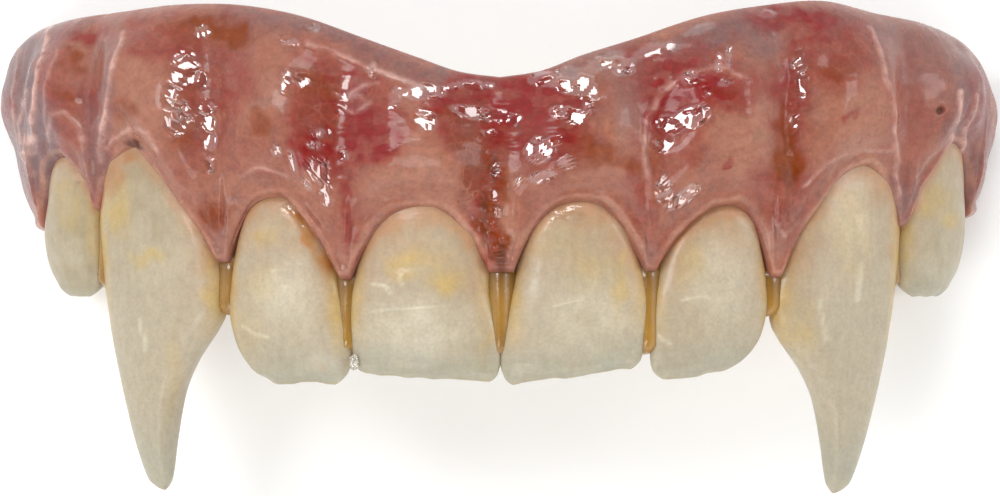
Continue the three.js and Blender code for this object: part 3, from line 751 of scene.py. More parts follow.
def make_piece(name, points, cap, masks, material):
    """A Blender object from rings of points in millimetres, closed at both ends, with its faces outwards."""
    rings, size = points.shape[:2]
    tube = grid_faces(rings, size)
    flat = points.reshape(-1, 3) * MILLIMETRE
    a, b, c, d = (flat[tube[:, corner]] for corner in range(4))
    volume = np.einsum("ij,ij->", np.cross(a, b), c) + np.einsum("ij,ij->", np.cross(a, c), d)
    faces = tube.tolist() + [face[::-1] for face in cap(0, size)] + cap((rings - 1) * size, size)
    if volume < 0:
        faces = [face[::-1] for face in faces]
    mesh = bpy.data.meshes.new(name)
    mesh.from_pydata(flat.tolist(), [], faces)
    for mask, values in masks.items():
        attribute = mesh.attributes.new(mask, "FLOAT", "POINT")
        attribute.data.foreach_set("value", np.clip(values, 0, 1).astype(np.float32).ravel())
    mesh.polygons.foreach_set("use_smooth", np.ones(len(mesh.polygons), bool))
    mesh.materials.append(material)
    mesh.update()
    piece = bpy.data.objects.new(name, mesh)
    bpy.context.collection.objects.link(piece)
    return piece


class Finish:
    """Builds the nodes of one material."""

    def __init__(self, name, **sockets):
        self.material = bpy.data.materials.new(name)
        self.material.use_nodes = True
        self.tree = self.material.node_tree
        self.shader = self.tree.nodes["Principled BSDF"]
        for socket, value in sockets.items():
            self.shader.inputs[socket.replace("_", " ")].default_value = value
        self.place = self.add("ShaderNodeTexCoord").outputs["Object"]

    def add(self, kind, inputs=None, **settings):
        """A new node with its settings and inputs."""
        made = self.tree.nodes.new(kind)
        for setting, value in settings.items():
            setattr(made, setting, value)
        for socket, value in (inputs or {}).items():
            self.fill(made.inputs[socket], value)
        return made

    def fill(self, socket, value):
        """Links a socket to another one, or sets it to a number or a colour."""
        if isinstance(value, bpy.types.NodeSocket):
            self.tree.links.new(value, socket)
        else:
            socket.default_value = (*value, 1) if socket.type == "RGBA" and len(value) == 3 else value

    def mask(self, name):
        """A mask that the mesh brings."""
        return self.add("ShaderNodeAttribute", attribute_name=name).outputs["Fac"]

    def noise(self, size, detail=3.0, stretch=(1, 1, 1)):
        """Noise whose bumps are size millimetres across, drawn out by stretch."""
        place = self.place
        if stretch != (1, 1, 1):
            scale = tuple(1 / share for share in stretch)
            place = self.add("ShaderNodeMapping", {"Vector": place, "Scale": scale}).outputs["Vector"]
        return self.add("ShaderNodeTexNoise", {
            "Vector": place, "Scale": 1 / (size * MILLIMETRE), "Detail": detail}).outputs["Fac"]

    def sum(self, kind, first, second, clamp=False):
        """Two values added or multiplied."""
        inputs = {0: first, 1: second}
        return self.add("ShaderNodeMath", inputs, operation=kind, use_clamp=clamp).outputs[0]

    def spread(self, value, low, high, to_low=0.0, to_high=1.0):
        """A value moved from one range to another."""
        ends = {"From Min": low, "From Max": high, "To Min": to_low, "To Max": to_high}
        return self.add("ShaderNodeMapRange", {"Value": value, **ends}).outputs["Result"]

    def blend(self, share, first, second, kind="MIX"):
        """Two colours blended by a share."""
        made = self.add("ShaderNodeMix", data_type="RGBA", blend_type=kind)
        self.fill(made.inputs["Factor"], share)
        self.fill(made.inputs[6], first)
        self.fill(made.inputs[7], second)
        return made.outputs[2]

    def mottle(self, colour, grey):
        """A colour made darker and lighter by a grey."""
        grey = self.add("ShaderNodeCombineColor", {0: grey, 1: grey, 2: grey}).outputs[0]
        return self.blend(0.5, colour, grey, "OVERLAY")

    def bump(self, height, depth, below=None):
        """Bumps of a depth in millimetres, over other bumps if given."""
        inputs = {"Height": height, "Distance": depth * MILLIMETRE, "Strength": 1.0}
        made = self.add("ShaderNodeBump", inputs)
        if below is not None:
            self.fill(made.inputs["Normal"], below)
        return made.outputs["Normal"]

    def finish(self, colour, roughness, normal):
        """The finished material."""
        self.fill(self.shader.inputs["Base Color"], colour)
        self.fill(self.shader.inputs["Roughness"], roughness)
        self.fill(self.shader.inputs["Normal"], normal)
        return self.material


def colour_property(name, description, red, green, blue):
    """A colour in the sidebar, given as it looks on a screen, from 0 to 255."""
    return FloatVectorProperty(
        name=name, description=description, subtype="COLOR", size=3, min=0, max=1,
        default=linear(red, green, blue))


def length_property(name, description, default, low, high):
    """A length in the sidebar, given in millimetres."""
    return FloatProperty(
        name=name, description=description, default=default * MILLIMETRE,
        min=low * MILLIMETRE, max=high * MILLIMETRE, unit="LENGTH", precision=5)


class GumSettings(PropertyGroup):
    """Sizes and colours of the gum."""
    flesh: colour_property("Flesh", "Main colour of the gum", 138, 80, 65)
    cream: colour_property("Cream", "Smooth, paler swellings over the roots", 156, 106, 86)
    blood: colour_property("Blood", "Deep red pools", 124, 24, 24)
    sun: colour_property("Sun", "Orange brown tints", 120, 50, 4)
    mist: colour_property("Mist", "Greyish mauve towards the ends and the border", 111, 83, 83)
    rim: colour_property("Rim", "Pale rolled edge round the teeth", 172, 128, 106)
    lobe: colour_property("Lobe", "Brown lobes that lie over each other", 120, 54, 36)
    # Pale colour of the thin ridges, partly a painted highlight along their crests
    crest_and_sheen: colour_property("Crest", "Thin pale ridges", 194, 154, 142)
    # Dark brown of the pits, also used as painted shade along the line where the gum meets the teeth
    stain_and_shade: colour_property("Soot", "Dark line at the teeth and in the pits", 84, 40, 24)
    relief: FloatProperty(
        name="Relief", description="Depth of the marks on the front, as a share of the modelled one",
        default=1.0, min=0.0, max=1.5)
    bead: length_property("Bead", "Height of the rolled edge round the teeth", 0.14, 0, 0.3)
    softness: length_property("Softness", "How far light spreads under the surface", 1.1, 0, 5)


class TeethSettings(PropertyGroup):
    """Sizes and colours of the teeth."""
    ivory: colour_property("Ivory", "Main colour of the teeth", 165, 153, 130)
    neck: colour_property("Neck", "Warmer tint towards the gum", 166, 126, 88)
    honey: colour_property("Honey", "Yellow patches", 184, 152, 72)
    rust: colour_property("Rust", "Brown stains by the gum and between the teeth", 158, 100, 36)
    blush: colour_property("Blush", "Pinkish tan film by the gum", 172, 128, 94)
    bone: colour_property("Bone", "Pale milky patches", 200, 192, 170)
    glass: colour_property("Glass", "Greyer, clearer edges and tips", 150, 150, 134)
    # Painted shade: darkens the teeth that lie further back and the very edges, where less light reaches
    shade: colour_property("Shade", "Duller parts that lie deeper", 150, 136, 108)
    edge_round: length_property("Edge Round", "How far up an edge its rounding starts", 0.55, 0.1, 1.5)
    softness: length_property("Softness", "How far light spreads under the surface", 0.9, 0, 5)


class TraySettings(PropertyGroup):
    """Colours of the tray."""
    amber: colour_property("Amber", "Main colour of the resin", 180, 136, 56)
    # Umber also serves as painted shade in the gaps between the teeth and under the gum's points
    umber: colour_property("Umber", "Darker clouds in the resin", 120, 82, 32)
    wave: length_property("Wave", "How uneven the hand-poured surfaces are", 0.1, 0, 0.3)


class StageSettings(PropertyGroup):
    """Floor, light and camera."""
    floor: colour_property("Floor", "Colour of the floor", 253, 255, 255)
    sky: FloatProperty(
        name="Sky", description="Strength of the light from all round",
        default=1.22, min=0.0, max=3.0)
    lens: FloatProperty(
        name="Lens", description="Focal length of the camera",
        default=183.6, min=20.0, max=400.0, unit="CAMERA")


def gum_material(settings):
    """Pink acrylic with tints, brown lobes and pale edges, glossy where it is wet."""
    gum = Finish(
        "glossy_pink_acrylic", Subsurface_Weight=0.3, Subsurface_Radius=(1.0, 0.32, 0.24),
        Subsurface_Scale=settings.softness, IOR=1.5, Specular_IOR_Level=0.2,
        Coat_Roughness=0.05, Coat_IOR=1.9)
    gum.fill(gum.shader.inputs["Coat Weight"], gum.spread(gum.mask("gloss"), 0, 1, 0.02, 0.95))
    cloud, vein = gum.noise(2.4, 5), gum.noise(0.8, 7, (1.1, 0.9, 1))
    grain = gum.noise(0.22, 3)
    colour = gum.blend(gum.spread(cloud, 0.35, 0.65), settings.flesh, settings.cream)
    colour = gum.blend(0.55, settings.flesh, colour)
    ragged = gum.spread(vein, 0.3, 0.7, 0.75, 1.4)
    misty = gum.spread(gum.noise(1.3, 6), 0.52, 0.75, 0, 0.5)
    colour = gum.blend(misty, colour, settings.mist)
    bloody = gum.spread(gum.noise(1.9, 6, (1, 1.4, 1)), 0.54, 0.8, 0, 0.45)
    colour = gum.blend(bloody, colour, settings.blood)
    for tint in ("cream", "mist", "blood", "sun", "rim", "crest_and_sheen", "stain_and_shade"):
        share = gum.sum("MULTIPLY", gum.mask(tint), ragged, clamp=True)
        colour = gum.blend(share, colour, getattr(settings, tint))
    waves = {"Vector": gum.place, "Scale": LOBE_WAVES, "Detail": 2.0}
    drift = {0: gum.add("ShaderNodeTexNoise", waves).outputs["Color"], "Scale": LOBE_DRIFT}
    drift = gum.add("ShaderNodeVectorMath", drift, operation="SCALE").outputs[0]
    place = gum.add("ShaderNodeVectorMath", {0: gum.place, 1: drift}, operation="ADD").outputs[0]
    cells = {"Vector": place, "Scale": LOBE_COUNT}
    scales = gum.add("ShaderNodeTexVoronoi", cells, feature="DISTANCE_TO_EDGE").outputs[0]
    lobed = gum.spread(scales, 0.02, 0.11)
    colour = gum.blend(gum.sum("MULTIPLY", gum.mask("scales"), lobed), colour, settings.lobe)
    lines = gum.sum("MULTIPLY", gum.mask("scales"), gum.spread(scales, 0, 0.06, 0.22, 0))
    colour = gum.blend(lines, colour, settings.rim)
    speckle = gum.sum("ADD", grain, gum.noise(0.5, 4))
    colour = gum.mottle(colour, gum.spread(speckle, 0.7, 1.3, 0.33, 0.67))
    roughness = gum.spread(vein, 0.3, 0.7, 0.24, 0.38)
    normal = gum.bump(gum.noise(0.5, 4), 0.02, gum.bump(gum.noise(1.6, 3), 0.05))
    return gum.finish(colour, roughness, normal)


def tooth_material(settings):
    """Ivory acrylic with a warm neck, stains, milky patches and clearer edges."""
    tooth = Finish(
        "ivory_acrylic", Subsurface_Weight=0.25, Subsurface_Radius=(1.0, 0.8, 0.5),
        Subsurface_Scale=settings.softness, IOR=1.5, Coat_Roughness=0.06, Coat_IOR=1.6)
    tooth.fill(tooth.shader.inputs["Coat Weight"], tooth.spread(tooth.mask("gloss"), 0, 1, 0.1, 1))
    cloud, streak = tooth.noise(1.6, 4), tooth.noise(0.45, 4, (1, 1.8, 1))
    ragged = tooth.spread(cloud, 0.3, 0.7, 0.4, 1.3)
    colour = settings.ivory
    for tint in ("neck", "bone", "glass", "shade", "honey", "blush", "rust"):
        share = tooth.sum("MULTIPLY", tooth.mask(tint), ragged, clamp=True)
        colour = tooth.blend(share, colour, getattr(settings, tint))
    speckle = tooth.sum("ADD", streak, tooth.noise(0.2, 3))
    colour = tooth.mottle(colour, tooth.spread(speckle, 0.7, 1.3, 0.4, 0.6))
    roughness = tooth.spread(cloud, 0.3, 0.7, 0.34, 0.48)
    normal = tooth.bump(tooth.noise(0.35, 3), 0.008, tooth.bump(tooth.noise(1.2, 3, (1, 0.35, 1)), 0.03))
    return tooth.finish(colour, roughness, normal)


def resin_material(settings):
    """Clear amber resin with brown clouds, and painted shade in the gaps between the teeth."""
    resin = Finish(
        "amber_resin", Subsurface_Weight=0.35, Subsurface_Radius=(1.0, 0.6, 0.2),
        Subsurface_Scale=1.6 * MILLIMETRE, Transmission_Weight=0.15, IOR=1.5,
        Coat_Weight=0.3, Coat_Roughness=0.08)
    cloud = resin.noise(3.0, 5)
    colour = resin.blend(resin.spread(cloud, 0.35, 0.7, 0, 0.6), settings.amber, settings.umber)
    # Painted shade: the depth mask darkens the tray in the gaps between the teeth and under the gum's points
    colour = resin.blend(resin.mask("depth"), colour, settings.umber)
    roughness = resin.spread(cloud, 0.3, 0.7, 0.16, 0.32)
    normal = resin.bump(resin.noise(0.6, 3), 0.02, resin.bump(resin.noise(2.5, 2), 0.08))
    return resin.finish(colour, roughness, normal)


def gum_ring():
    """Every point of a gum section: share of the height, share from front to back, and extra height."""
    ease = np.linspace(0, 1, GUM_FRONT)
    front_up = 0.55 * ease + 0.45 * ease ** 1.8
    turn = np.pi * (np.arange(GUM_ROLL) + 0.5) / GUM_ROLL
    lip = np.pi * (np.arange(GUM_LIP_STEPS) + 0.5) / GUM_LIP_STEPS
    across = (1 - np.cos(turn)) / 2
    lip_across = (1 + np.cos(lip)) / 2
    up = np.concatenate([
        front_up, np.ones(GUM_ROLL), np.linspace(1, 0, GUM_BACK), np.zeros(GUM_LIP_STEPS)])
    depth = np.concatenate([np.zeros(GUM_FRONT), across, np.ones(GUM_BACK), lip_across])
    rise = np.concatenate([
        np.zeros(GUM_FRONT), BORDER_ROLL * np.sin(turn), np.zeros(GUM_BACK), -MARGIN_ROLL * np.sin(lip)])
    return up, depth, rise


def flange_surface(along, up, depth):
    """Offset of the gum flange at a share of its height and from its front to its back."""
    side = np.where(along < 0, END_TUCK["left"], END_TUCK["right"])
    end = end_share(along)
    swell, tuck = read_rows(FLANGE_PROFILE, 1, up), read_rows(FLANGE_PROFILE, 2, up)
    over = each(root_share, along)
    ridge = each(lambda place: tooth_at(place)["ridge"], along)
    base = CLEARANCE + GUM_LIP + swell * FLANGE_BULGE - end * tuck * side
    dip = INTERDENTAL_DIP * (1 - over) * (1 - DIP_FADE * up) * (1 - end)
    root = INTERDENTAL_DIP * ridge * over * np.sin(np.pi * ROOT_REACH * up)
    groove = FRENUM_DIP * bell(along, FRENUM_WIDTH) * np.sin(np.pi * np.minimum(up + FRENUM_START, 1))
    front = base - dip + root - groove
    back = base - (FLANGE_THICKNESS + (END_THICKNESS - FLANGE_THICKNESS) * end)
    return front * (1 - depth) + back * depth


def flake_slopes(along, height, points):
    """Slopes along the arch and up it that would turn each place of a surface to the nearest light."""
    _, _, heading_x, heading_z, side = arch_frame(along)
    outwards = np.stack([-side * heading_z, np.zeros(along.shape), heading_x], axis=-1)
    rise = np.gradient(height, axis=1)
    rise = np.where(np.abs(rise) < LEAST_STEP, LEAST_STEP, rise)[..., None]
    upwards = np.gradient(points, axis=1) / rise
    step = np.gradient(along, axis=0)
    step = np.where(np.abs(step) < LEAST_STEP, LEAST_STEP, step)[..., None]
    sideways = np.gradient(points, axis=0) - upwards * np.gradient(height, axis=0)[..., None]
    sideways = sideways / step
    best, slopes = np.full(along.shape, np.inf), np.zeros((2,) + along.shape)
    for light, _, _ in LIGHTS.values():
        halfway = np.array(light) / np.linalg.norm(light) + (0, 0, 1)
        halfway /= np.linalg.norm(halfway)
        facing = np.maximum(outwards @ halfway, LEAST_FACING)
        slope = np.stack([-(sideways @ halfway) / facing, -(upwards @ halfway) / facing])
        steep = np.hypot(*slope)
        nearer = steep < best
        best, slopes = np.where(nearer, steep, best), np.where(nearer, slope, slopes)
    return np.clip(slopes, -STEEPEST_FLAKE, STEEPEST_FLAKE)


def flake_relief(along, height, points, size, seed):
    """Relief of flat flakes over a surface, each turned to the nearest light."""
    slopes = flake_slopes(along, height, points)
    away_x, away_y, luck_x, luck_y = flake_cells(along, height, size, seed)
    return away_x * (slopes[0] + FLAKE_LUCK * luck_x) + away_y * (slopes[1] + FLAKE_LUCK * luck_y)


def gum_lines(x, y):
    """Relief of the thin ridges and the beads on the gum, and how pale the ridges are, partly as a painted
    highlight.
    """
    relief, pale = np.zeros(x.shape), np.zeros(x.shape)
    for width, rise, paleness, places in RIDGES:
        line = bell(line_distance(x, y, places), RIDGE_SHARE * width)
        relief += RIDGE_SHARE * rise * line
        pale = np.maximum(pale, paleness * line ** 0.5)
    for bead_x, bead_y, radius, rise in BEADS:
        relief += rise * np.exp(-(np.hypot(x - bead_x, y - bead_y) / radius) ** 2 * BEAD_SHARPNESS)
    return relief, pale


def gum_relief(settings, along, height, gap, offset, facing, shown):
    """Offsets of the gum's surface with its relief, in millimetres, and the masks of its colours."""
    true_x, true_y = front_view(arch_point(along, height, offset))
    drift_x, drift_y = (sum(
        reach * lattice_noise(along / size, height / size, seed + 10 * size)
        for size, reach in DRIFT_WAVES) for seed in DRIFT_SEEDS)
    x, y = true_x + drift_x, true_y + drift_y
    near_x, near_y = true_x + RELIEF_DRIFT * drift_x, true_y + RELIEF_DRIFT * drift_y

    # Relief of the dry parts: calm forms that the wet parts share, and finer ones that they don't
    calm = np.zeros(x.shape)
    for *place, rise in SWELLS:
        calm += rise * (1 - smooth(oval(near_x, near_y, place), *SWELL_FALL))
    relief, pale = gum_lines(near_x, near_y)
    for rise, size_x, size_y, seed in GUM_WAVES:
        relief += rise * lattice_noise(along / size_x, height / size_y, seed)
    rise, size_x, size_y, seed = POOL_WAVE
    relief += rise * blots(x, y, BLOOD) * lattice_noise(along / size_x, height / size_y, seed)
    gap = gap + EDGE_WANDER * lattice_noise(along / 0.9, height / 0.9, 15)
    roll = settings.bead / MILLIMETRE * (0.8 + 0.6 * lattice_noise(along / 2.2, along * 0 + 1, 8))
    groove = GROOVE_SHARE * bell(gap - GROOVE_PLACE, ROLL_WIDTH)
    relief += roll * (bell(gap - ROLL_PLACE, ROLL_WIDTH) - groove)
    over = smooth(each(root_share, along[:, :1]), 0, 0.5)
    over = over + POINT_THINNING * (1 - over) * smooth(np.abs(along), *THINNING_START)
    calm -= LIP_THINNING * over * (1 - smooth(gap, 0, THINNING_HEIGHT)) * (1 - end_share(along))

    # Flakes of the wet parts
    points = arch_point(along, height, offset + calm * facing)
    flakes = flake_relief(along, height, points, FLAKE_SIZE, 11)
    wet = smooth(blots(near_x, near_y, WET, WET_HARDNESS), *WET_EDGE)
    relief = settings.relief * (calm + relief * (1 - wet) + flakes * wet)
    offset = offset + np.clip(relief, -DEEPEST, HIGHEST) * facing

    # Masks of the colours
    _, _, pool_luck, crest_luck = flake_cells(near_x / PATCH_STRETCH, near_y, PATCH_SIZE, 13)
    masks = {
        tint: strength * blots(x, y, places, hardness)
        for tint, (places, hardness, strength) in GUM_TINTS.items()}
    masks["blood"] = masks["blood"] * (0.85 + 0.3 * pool_luck)
    uneven = 0.35 + 0.3 * lattice_noise(along / 1.4, height / 1.4, 16)
    masks["rim"] = uneven * (1 - smooth(np.abs(gap - RIM_PLACE), *RIM_FADE))
    # Pale ridges, partly a painted highlight along their crests
    masks["crest_and_sheen"] = 0.9 * pale * (0.8 + 0.5 * crest_luck)
    # Painted shade: a dark line along the gum's edge at the teeth stands in for the shadow there, with some
    # staining
    at_teeth = GUM_EDGE_SHADOW_STRENGTH * (1 - smooth(gap, *GUM_EDGE_SHADOW_FADE))
    masks["stain_and_shade"] = np.maximum(blots(near_x, near_y, SOOT, 0.5), at_teeth)
    masks = {tint: values * shown for tint, values in masks.items()}
    wet_gloss = DRY_GLOSS + (1 - DRY_GLOSS) * smooth(wet, 0, 0.5)
    masks["gloss"] = (1 - smooth(np.abs(along), *DULL_ENDS)) * wet_gloss
    return offset, masks


class DENTURE_OT_gum(Operator):
    """Shapes the gum flange with its ridges, pools and rolled edges"""
    bl_idname = "denture.gum"
    bl_label = "Gum"

    def execute(self, context):
        settings = context.scene.denture_gum
        up, depth, rise = gum_ring()
        along = np.linspace(-HALF_LENGTH, HALF_LENGTH, GUM_STATIONS)
        margin = each(margin_height, along)
        lean = np.clip(np.gradient(margin, along), -STEEPEST_MARGIN, STEEPEST_MARGIN)[:, None]
        low, high = margin[:, None] + MARGIN_ROLL, border_at(along)[:, None] - BORDER_ROLL
        along = np.repeat(along[:, None], len(up), axis=1)
        up, depth, rise = (np.repeat(row[None, :], GUM_STATIONS, axis=0) for row in (up, depth, rise))
        height = low + (high - low) * up + rise
        offset = flange_surface(along, up, depth)
        near = slice(GUM_FRONT - CREASE_STEPS, GUM_FRONT + CREASE_STEPS // 2)
        for _ in range(2 * CREASE_STEPS):
            for rows in (height, offset):
                rows[:, near] = soften(rows)[:, near]
        gap = (height - margin[:, None]) / np.sqrt(1 + lean ** 2)
        facing = smooth(1 - 2 * depth, 0, 0.8)
        shown = smooth(1 - depth, 0.3, 0.6)
        offset, masks = gum_relief(settings, along, height, gap, offset, facing, shown)
        points = arch_point(along, height, offset)
        gum = make_piece("gum", points, ring_cap, masks, gum_material(settings))
        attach(gum, BODY)
        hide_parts("gum_flange")
        return {"FINISHED"}


def squared(value):
    """Pushes a round section out towards a rectangle."""
    return np.sign(value) * np.abs(value) ** SQUARENESS


def tooth_rings(tooth, edge_round):
    """Smooth rings of points from the root down to the rounded edge, as grids: place along the arch without
    its side, height, offset, how much each faces the front, and its share of the crown and of the width."""
    rows = TOOTH_SECTIONS[tooth["kind"]]
    fang = tooth["kind"] == "fang"
    thickness = FANG_THICKNESS if fang else TOOTH_THICKNESS
    crown = tooth["neck"] - tooth["edge"]
    root_down = ROOT_LENGTH / crown
    edge_start = 1 - edge_round / crown
    main = np.linspace(-root_down, edge_start, TOOTH_LEVELS - TOOTH_EDGE_LEVELS)
    turn = np.pi / 2 * np.arange(1, TOOTH_EDGE_LEVELS + 1) / TOOTH_EDGE_LEVELS
    down = np.concatenate([main, edge_start + (1 - edge_start) * np.sin(turn)])[:, None]
    closing = np.concatenate([np.ones(len(main)), np.maximum(np.cos(turn), EDGE_FLAT)])[:, None]
    angle = 2 * np.pi * np.arange(TOOTH_SIDES)[None, :] / TOOTH_SIDES

    # Reach along the arch
    narrowed = 1 + ROOT_TAPER * np.minimum(down, 0) / root_down
    shift = tooth["zenith"] * tooth["width"] * np.clip(1 - down / 0.5, 0, 1)
    across = squared(np.cos(angle))
    wider = NECK_SPREAD * (1 - smooth(down, *SPREAD_END))
    corner, side = TOOTH_CORNERS.get(tooth["name"], (0, 0))
    corner = corner * smooth(down, *CORNER_RISE) * (1 - 0.5 * smooth(down, *CORNER_FALL))
    side = side * smooth(down, *SIDE_RISE) * (1 - smooth(down, *SIDE_FALL))
    inner, outer = read_rows(rows, 1, down) + corner, read_rows(rows, 2, down) + side
    reach = np.where(across > 0, outer, inner) + wider
    reach = reach * tooth["width"] * narrowed
    reach = reach * closing if fang else reach - EDGE_DRAW * edge_round * (1 - closing)
    along = tooth["centre"] + shift + across * reach * (1 - BACK_TAPER * np.maximum(-np.sin(angle), 0))

    # Depth and height
    front, back = read_rows(rows, 3, down) * thickness, read_rows(rows, 4, down) * thickness
    half = (front + back) / 2
    offset = (front - back) / 2 + squared(np.sin(angle)) * half * closing
    share = (along - tooth["centre"]) / tooth["width"]
    edge = tooth["edge"] + tooth["slope"] * share
    height = tooth["neck"] + (edge - tooth["neck"]) * down
    return along, height, offset, smooth(np.sin(angle), 0, 0.6) * closing, down, share


def tooth_points(tooth, edge_round):
    """Rings of points of a tooth with its relief. Then for each point its share of the crown, how far it
    lies below the gum's edge and beside the middle, how much it faces the front, and how wet and how
    scratched it is."""
    along, height, offset, facing, down, share = tooth_rings(tooth, edge_round)
    neck_turn, chips, lobes = TOOTH_TOUCHES[tooth["name"]]
    seed = sum(map(ord, tooth["name"]))
    signed = tooth["sign"] * along
    chipped = lattice_noise(along / CHIP_SIZE, along * 0 + 3, seed)
    height = height + chips * chipped * smooth(down, *CHIP_START)
    below = each(margin_height, signed) - height
    face = lobes * np.cos(2 * np.pi * 1.5 * (share + 0.08)) * smooth(down, *LOBE_RISE)
    for rise, size_x, size_y, step in TOOTH_WAVES:
        face = face + rise * lattice_noise(along / size_x, height / size_y, seed + step)
    turned_in = neck_turn * np.exp(-np.maximum(below, 0) / NECK_TURN)
    face = face + NECK_FULLNESS * (1 - smooth(down, *FULLNESS_END)) - turned_in
    points = arch_point(signed, height, offset + face * facing)
    x, y = front_view(points)
    wet = blots(x, y, TOOTH_WET, TOOTH_WET_HARDNESS)
    flakes = flake_relief(signed.T, height.T, points.transpose(1, 0, 2), TOOTH_FLAKE, seed)
    face = face + wet * flakes.T
    scratch = np.zeros(along.shape)
    for rise, places in SCRATCHES:
        line = bell(line_distance(x, y, places), SCRATCH_WIDTH)
        face = face + rise * line
        scratch = np.maximum(scratch, line)
    points = arch_point(signed, height, offset + face * facing)
    return points, down + 0 * along, below, np.abs(share) * 2, facing, wet * facing, scratch


def tooth_masks(points, down, below, aside, facing, wet, scratch):
    """Masks of a tooth's colours."""
    x, y = front_view(points)
    drift_x, drift_y = (
        STAIN_DRIFT * lattice_noise(x / STAIN_WAVE, y / STAIN_WAVE, seed) for seed in (21, 22))
    x, y = x + drift_x, y + drift_y
    seen = smooth(facing, 0, 0.2)
    beside = smooth(aside, 0.68, 0.98) * (1 - smooth(down, 0.6, 0.85))
    return {
        "neck": np.exp(-np.maximum(below, 0) / 2.4),
        "honey": np.maximum(0.8 * blots(x, y, HONEY, 0.2) * seen, 0.55 * beside),
        "rust": np.maximum(blots(x, y, RUST, 0.35) * seen, 0.4 * (1 - seen) * (down < 0.5)),
        "blush": 0.75 * (1 - smooth(below + 0.25 * lattice_noise(x / 12, y / 12, 23), 0.1, 1.0)),
        "bone": np.maximum(blots(x, y, BONE, 0.3), 0.6 * scratch) * seen,
        "glass": 0.75 * smooth(down, 0.72, 1),
        # Painted shade over the parts that lie further back, and a painted dark rim along the very edge
        "shade": np.maximum(blots(x, y, PAINTED_SHADE, 0.0), 0.7 * smooth(down, 0.975, 1)),
        "gloss": wet,
    }


class DENTURE_OT_teeth(Operator):
    """Shapes the six front teeth, the fangs and the premolars"""
    bl_idname = "denture.teeth"
    bl_label = "Teeth"

    def execute(self, context):
        settings = context.scene.denture_teeth
        material = tooth_material(settings)
        for tooth in TEETH:
            points, *shares = tooth_points(tooth, settings.edge_round / MILLIMETRE)
            masks = tooth_masks(points, *shares)
            piece = make_piece(f"{tooth['name']}_face", points, strip_cap, masks, material)
            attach(piece, BODY)
            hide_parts(tooth["name"])
        return {"FINISHED"}


def tray_section(along):
    """Corners of the tray's section at each place: how far behind the arch line, and height."""
    under = read_rows(TRAY_LINE, 1, np.abs(along) / HALF_LENGTH) * FLOOR_HEIGHT
    front = TRAY_INSET + TRAY_TUCK * end_share(along)
    front_top, rear_top = border_at(along) * FRONT_WALL_SHARE, border_at(along) * REAR_WALL_SHARE
    floor = under + TRAY_FLOOR
    inner = TOOTH_THICKNESS + CLEARANCE + TRAY_WALL
    rear_inner, rear_outer = inner + TROUGH_WIDTH, inner + TROUGH_WIDTH + REAR_WALL
    flat = np.zeros(len(along))
    corners = [
        (front, under), (front, front_top), (flat + inner, front_top), (flat + inner, floor),
        (flat + rear_inner, floor), (flat + rear_inner, rear_top), (flat + rear_outer, rear_top),
        (flat + rear_outer, under + TRAY_HEEL),
        (flat + rear_outer - HEEL_ROUND * TRAY_HEEL, under + HEEL_ROUND * TRAY_HEEL),
        (flat + rear_outer - TRAY_HEEL, under)]
    return np.stack([np.stack(corner, axis=-1) for corner in corners], axis=1)


def resin_wells(along, height):
    """How full of resin the gaps between the teeth are, and how much painted shadow falls under the gum's
    points.
    """
    inner = [tooth for tooth in TEETH if tooth["kind"] != "premolar"]
    gaps = [(0, MIDLINE_PAPILLA * CROWN_HEIGHT)]
    gaps += [(tooth["sign"] * tooth["end"], tooth["papilla"]) for tooth in inner]
    wells, shadow = 0, 0
    for gap, top in gaps:
        near = bell(along - gap, GAP_WIDTH)
        wells = wells + near * (1 - smooth(height, top + GAP_FADE[0], top + GAP_FADE[1]))
        shadow = shadow + near * smooth(height, top - GAP_SHADOW, top)
    return wells, shadow


class DENTURE_OT_tray(Operator):
    """Pours the amber tray that goes over the wearer's own teeth"""
    bl_idname = "denture.tray"
    bl_label = "Tray"

    def execute(self, context):
        settings = context.scene.denture_tray
        along = np.linspace(-HALF_LENGTH, HALF_LENGTH, TRAY_STATIONS)
        corners = tray_section(along)
        ring = []
        for corner, count in enumerate(TRAY_STEPS):
            share = (np.arange(count) / count)[None, :, None]
            following = corners[:, (corner + 1) % len(TRAY_STEPS), None]
            ring.append(corners[:, corner, None] * (1 - share) + following * share)
        section = np.concatenate(ring, axis=1)
        for _ in range(2):
            section = soften(section)
        inset, height = section[..., 0], section[..., 1]
        along = np.repeat(along[:, None], inset.shape[1], axis=1)
        wave = settings.wave / MILLIMETRE
        ripple = wave * lattice_noise(along / 3, height / 3 + inset / 2, 31)
        ripple += 0.4 * wave * lattice_noise(along / 1.1, height / 1.1 + inset, 32)
        wells, shadow = resin_wells(along, height)
        forward = (GAP_FILL - GAP_LEAN * height) * wells
        forward = forward * (1 - smooth(inset, TRAY_INSET, TRAY_INSET + GAP_DEPTH))
        points = arch_point(along, height + 0.6 * ripple, -inset + ripple + forward)
        points[..., 2] = np.maximum(points[..., 2], 0)
        # Painted shade: the front of the tray seen between the teeth, and more so under the gum's points
        depth = 0.25 * (1 - smooth(inset, TRAY_INSET, TRAY_INSET + 1.2)) + 0.65 * shadow
        piece = make_piece("tray", points, ring_cap, {"depth": depth}, resin_material(settings))
        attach(piece, BODY)
        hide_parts("inner_tray")
        return {"FINISHED"}


def glass_material():
    """Clear resin, slightly cloudy."""
    glass = Finish(
        "clear_resin", Transmission_Weight=0.85, IOR=1.45, Coat_Weight=1.0, Coat_Roughness=0.04)
    cloud = glass.noise(0.3, 3)
    colour = glass.blend(glass.spread(cloud, 0.35, 0.65), linear(248, 246, 238), linear(206, 202, 188))
    roughness = glass.spread(cloud, 0.3, 0.7, 0.06, 0.2)
    return glass.finish(colour, roughness, glass.bump(glass.noise(0.2, 2), 0.01))


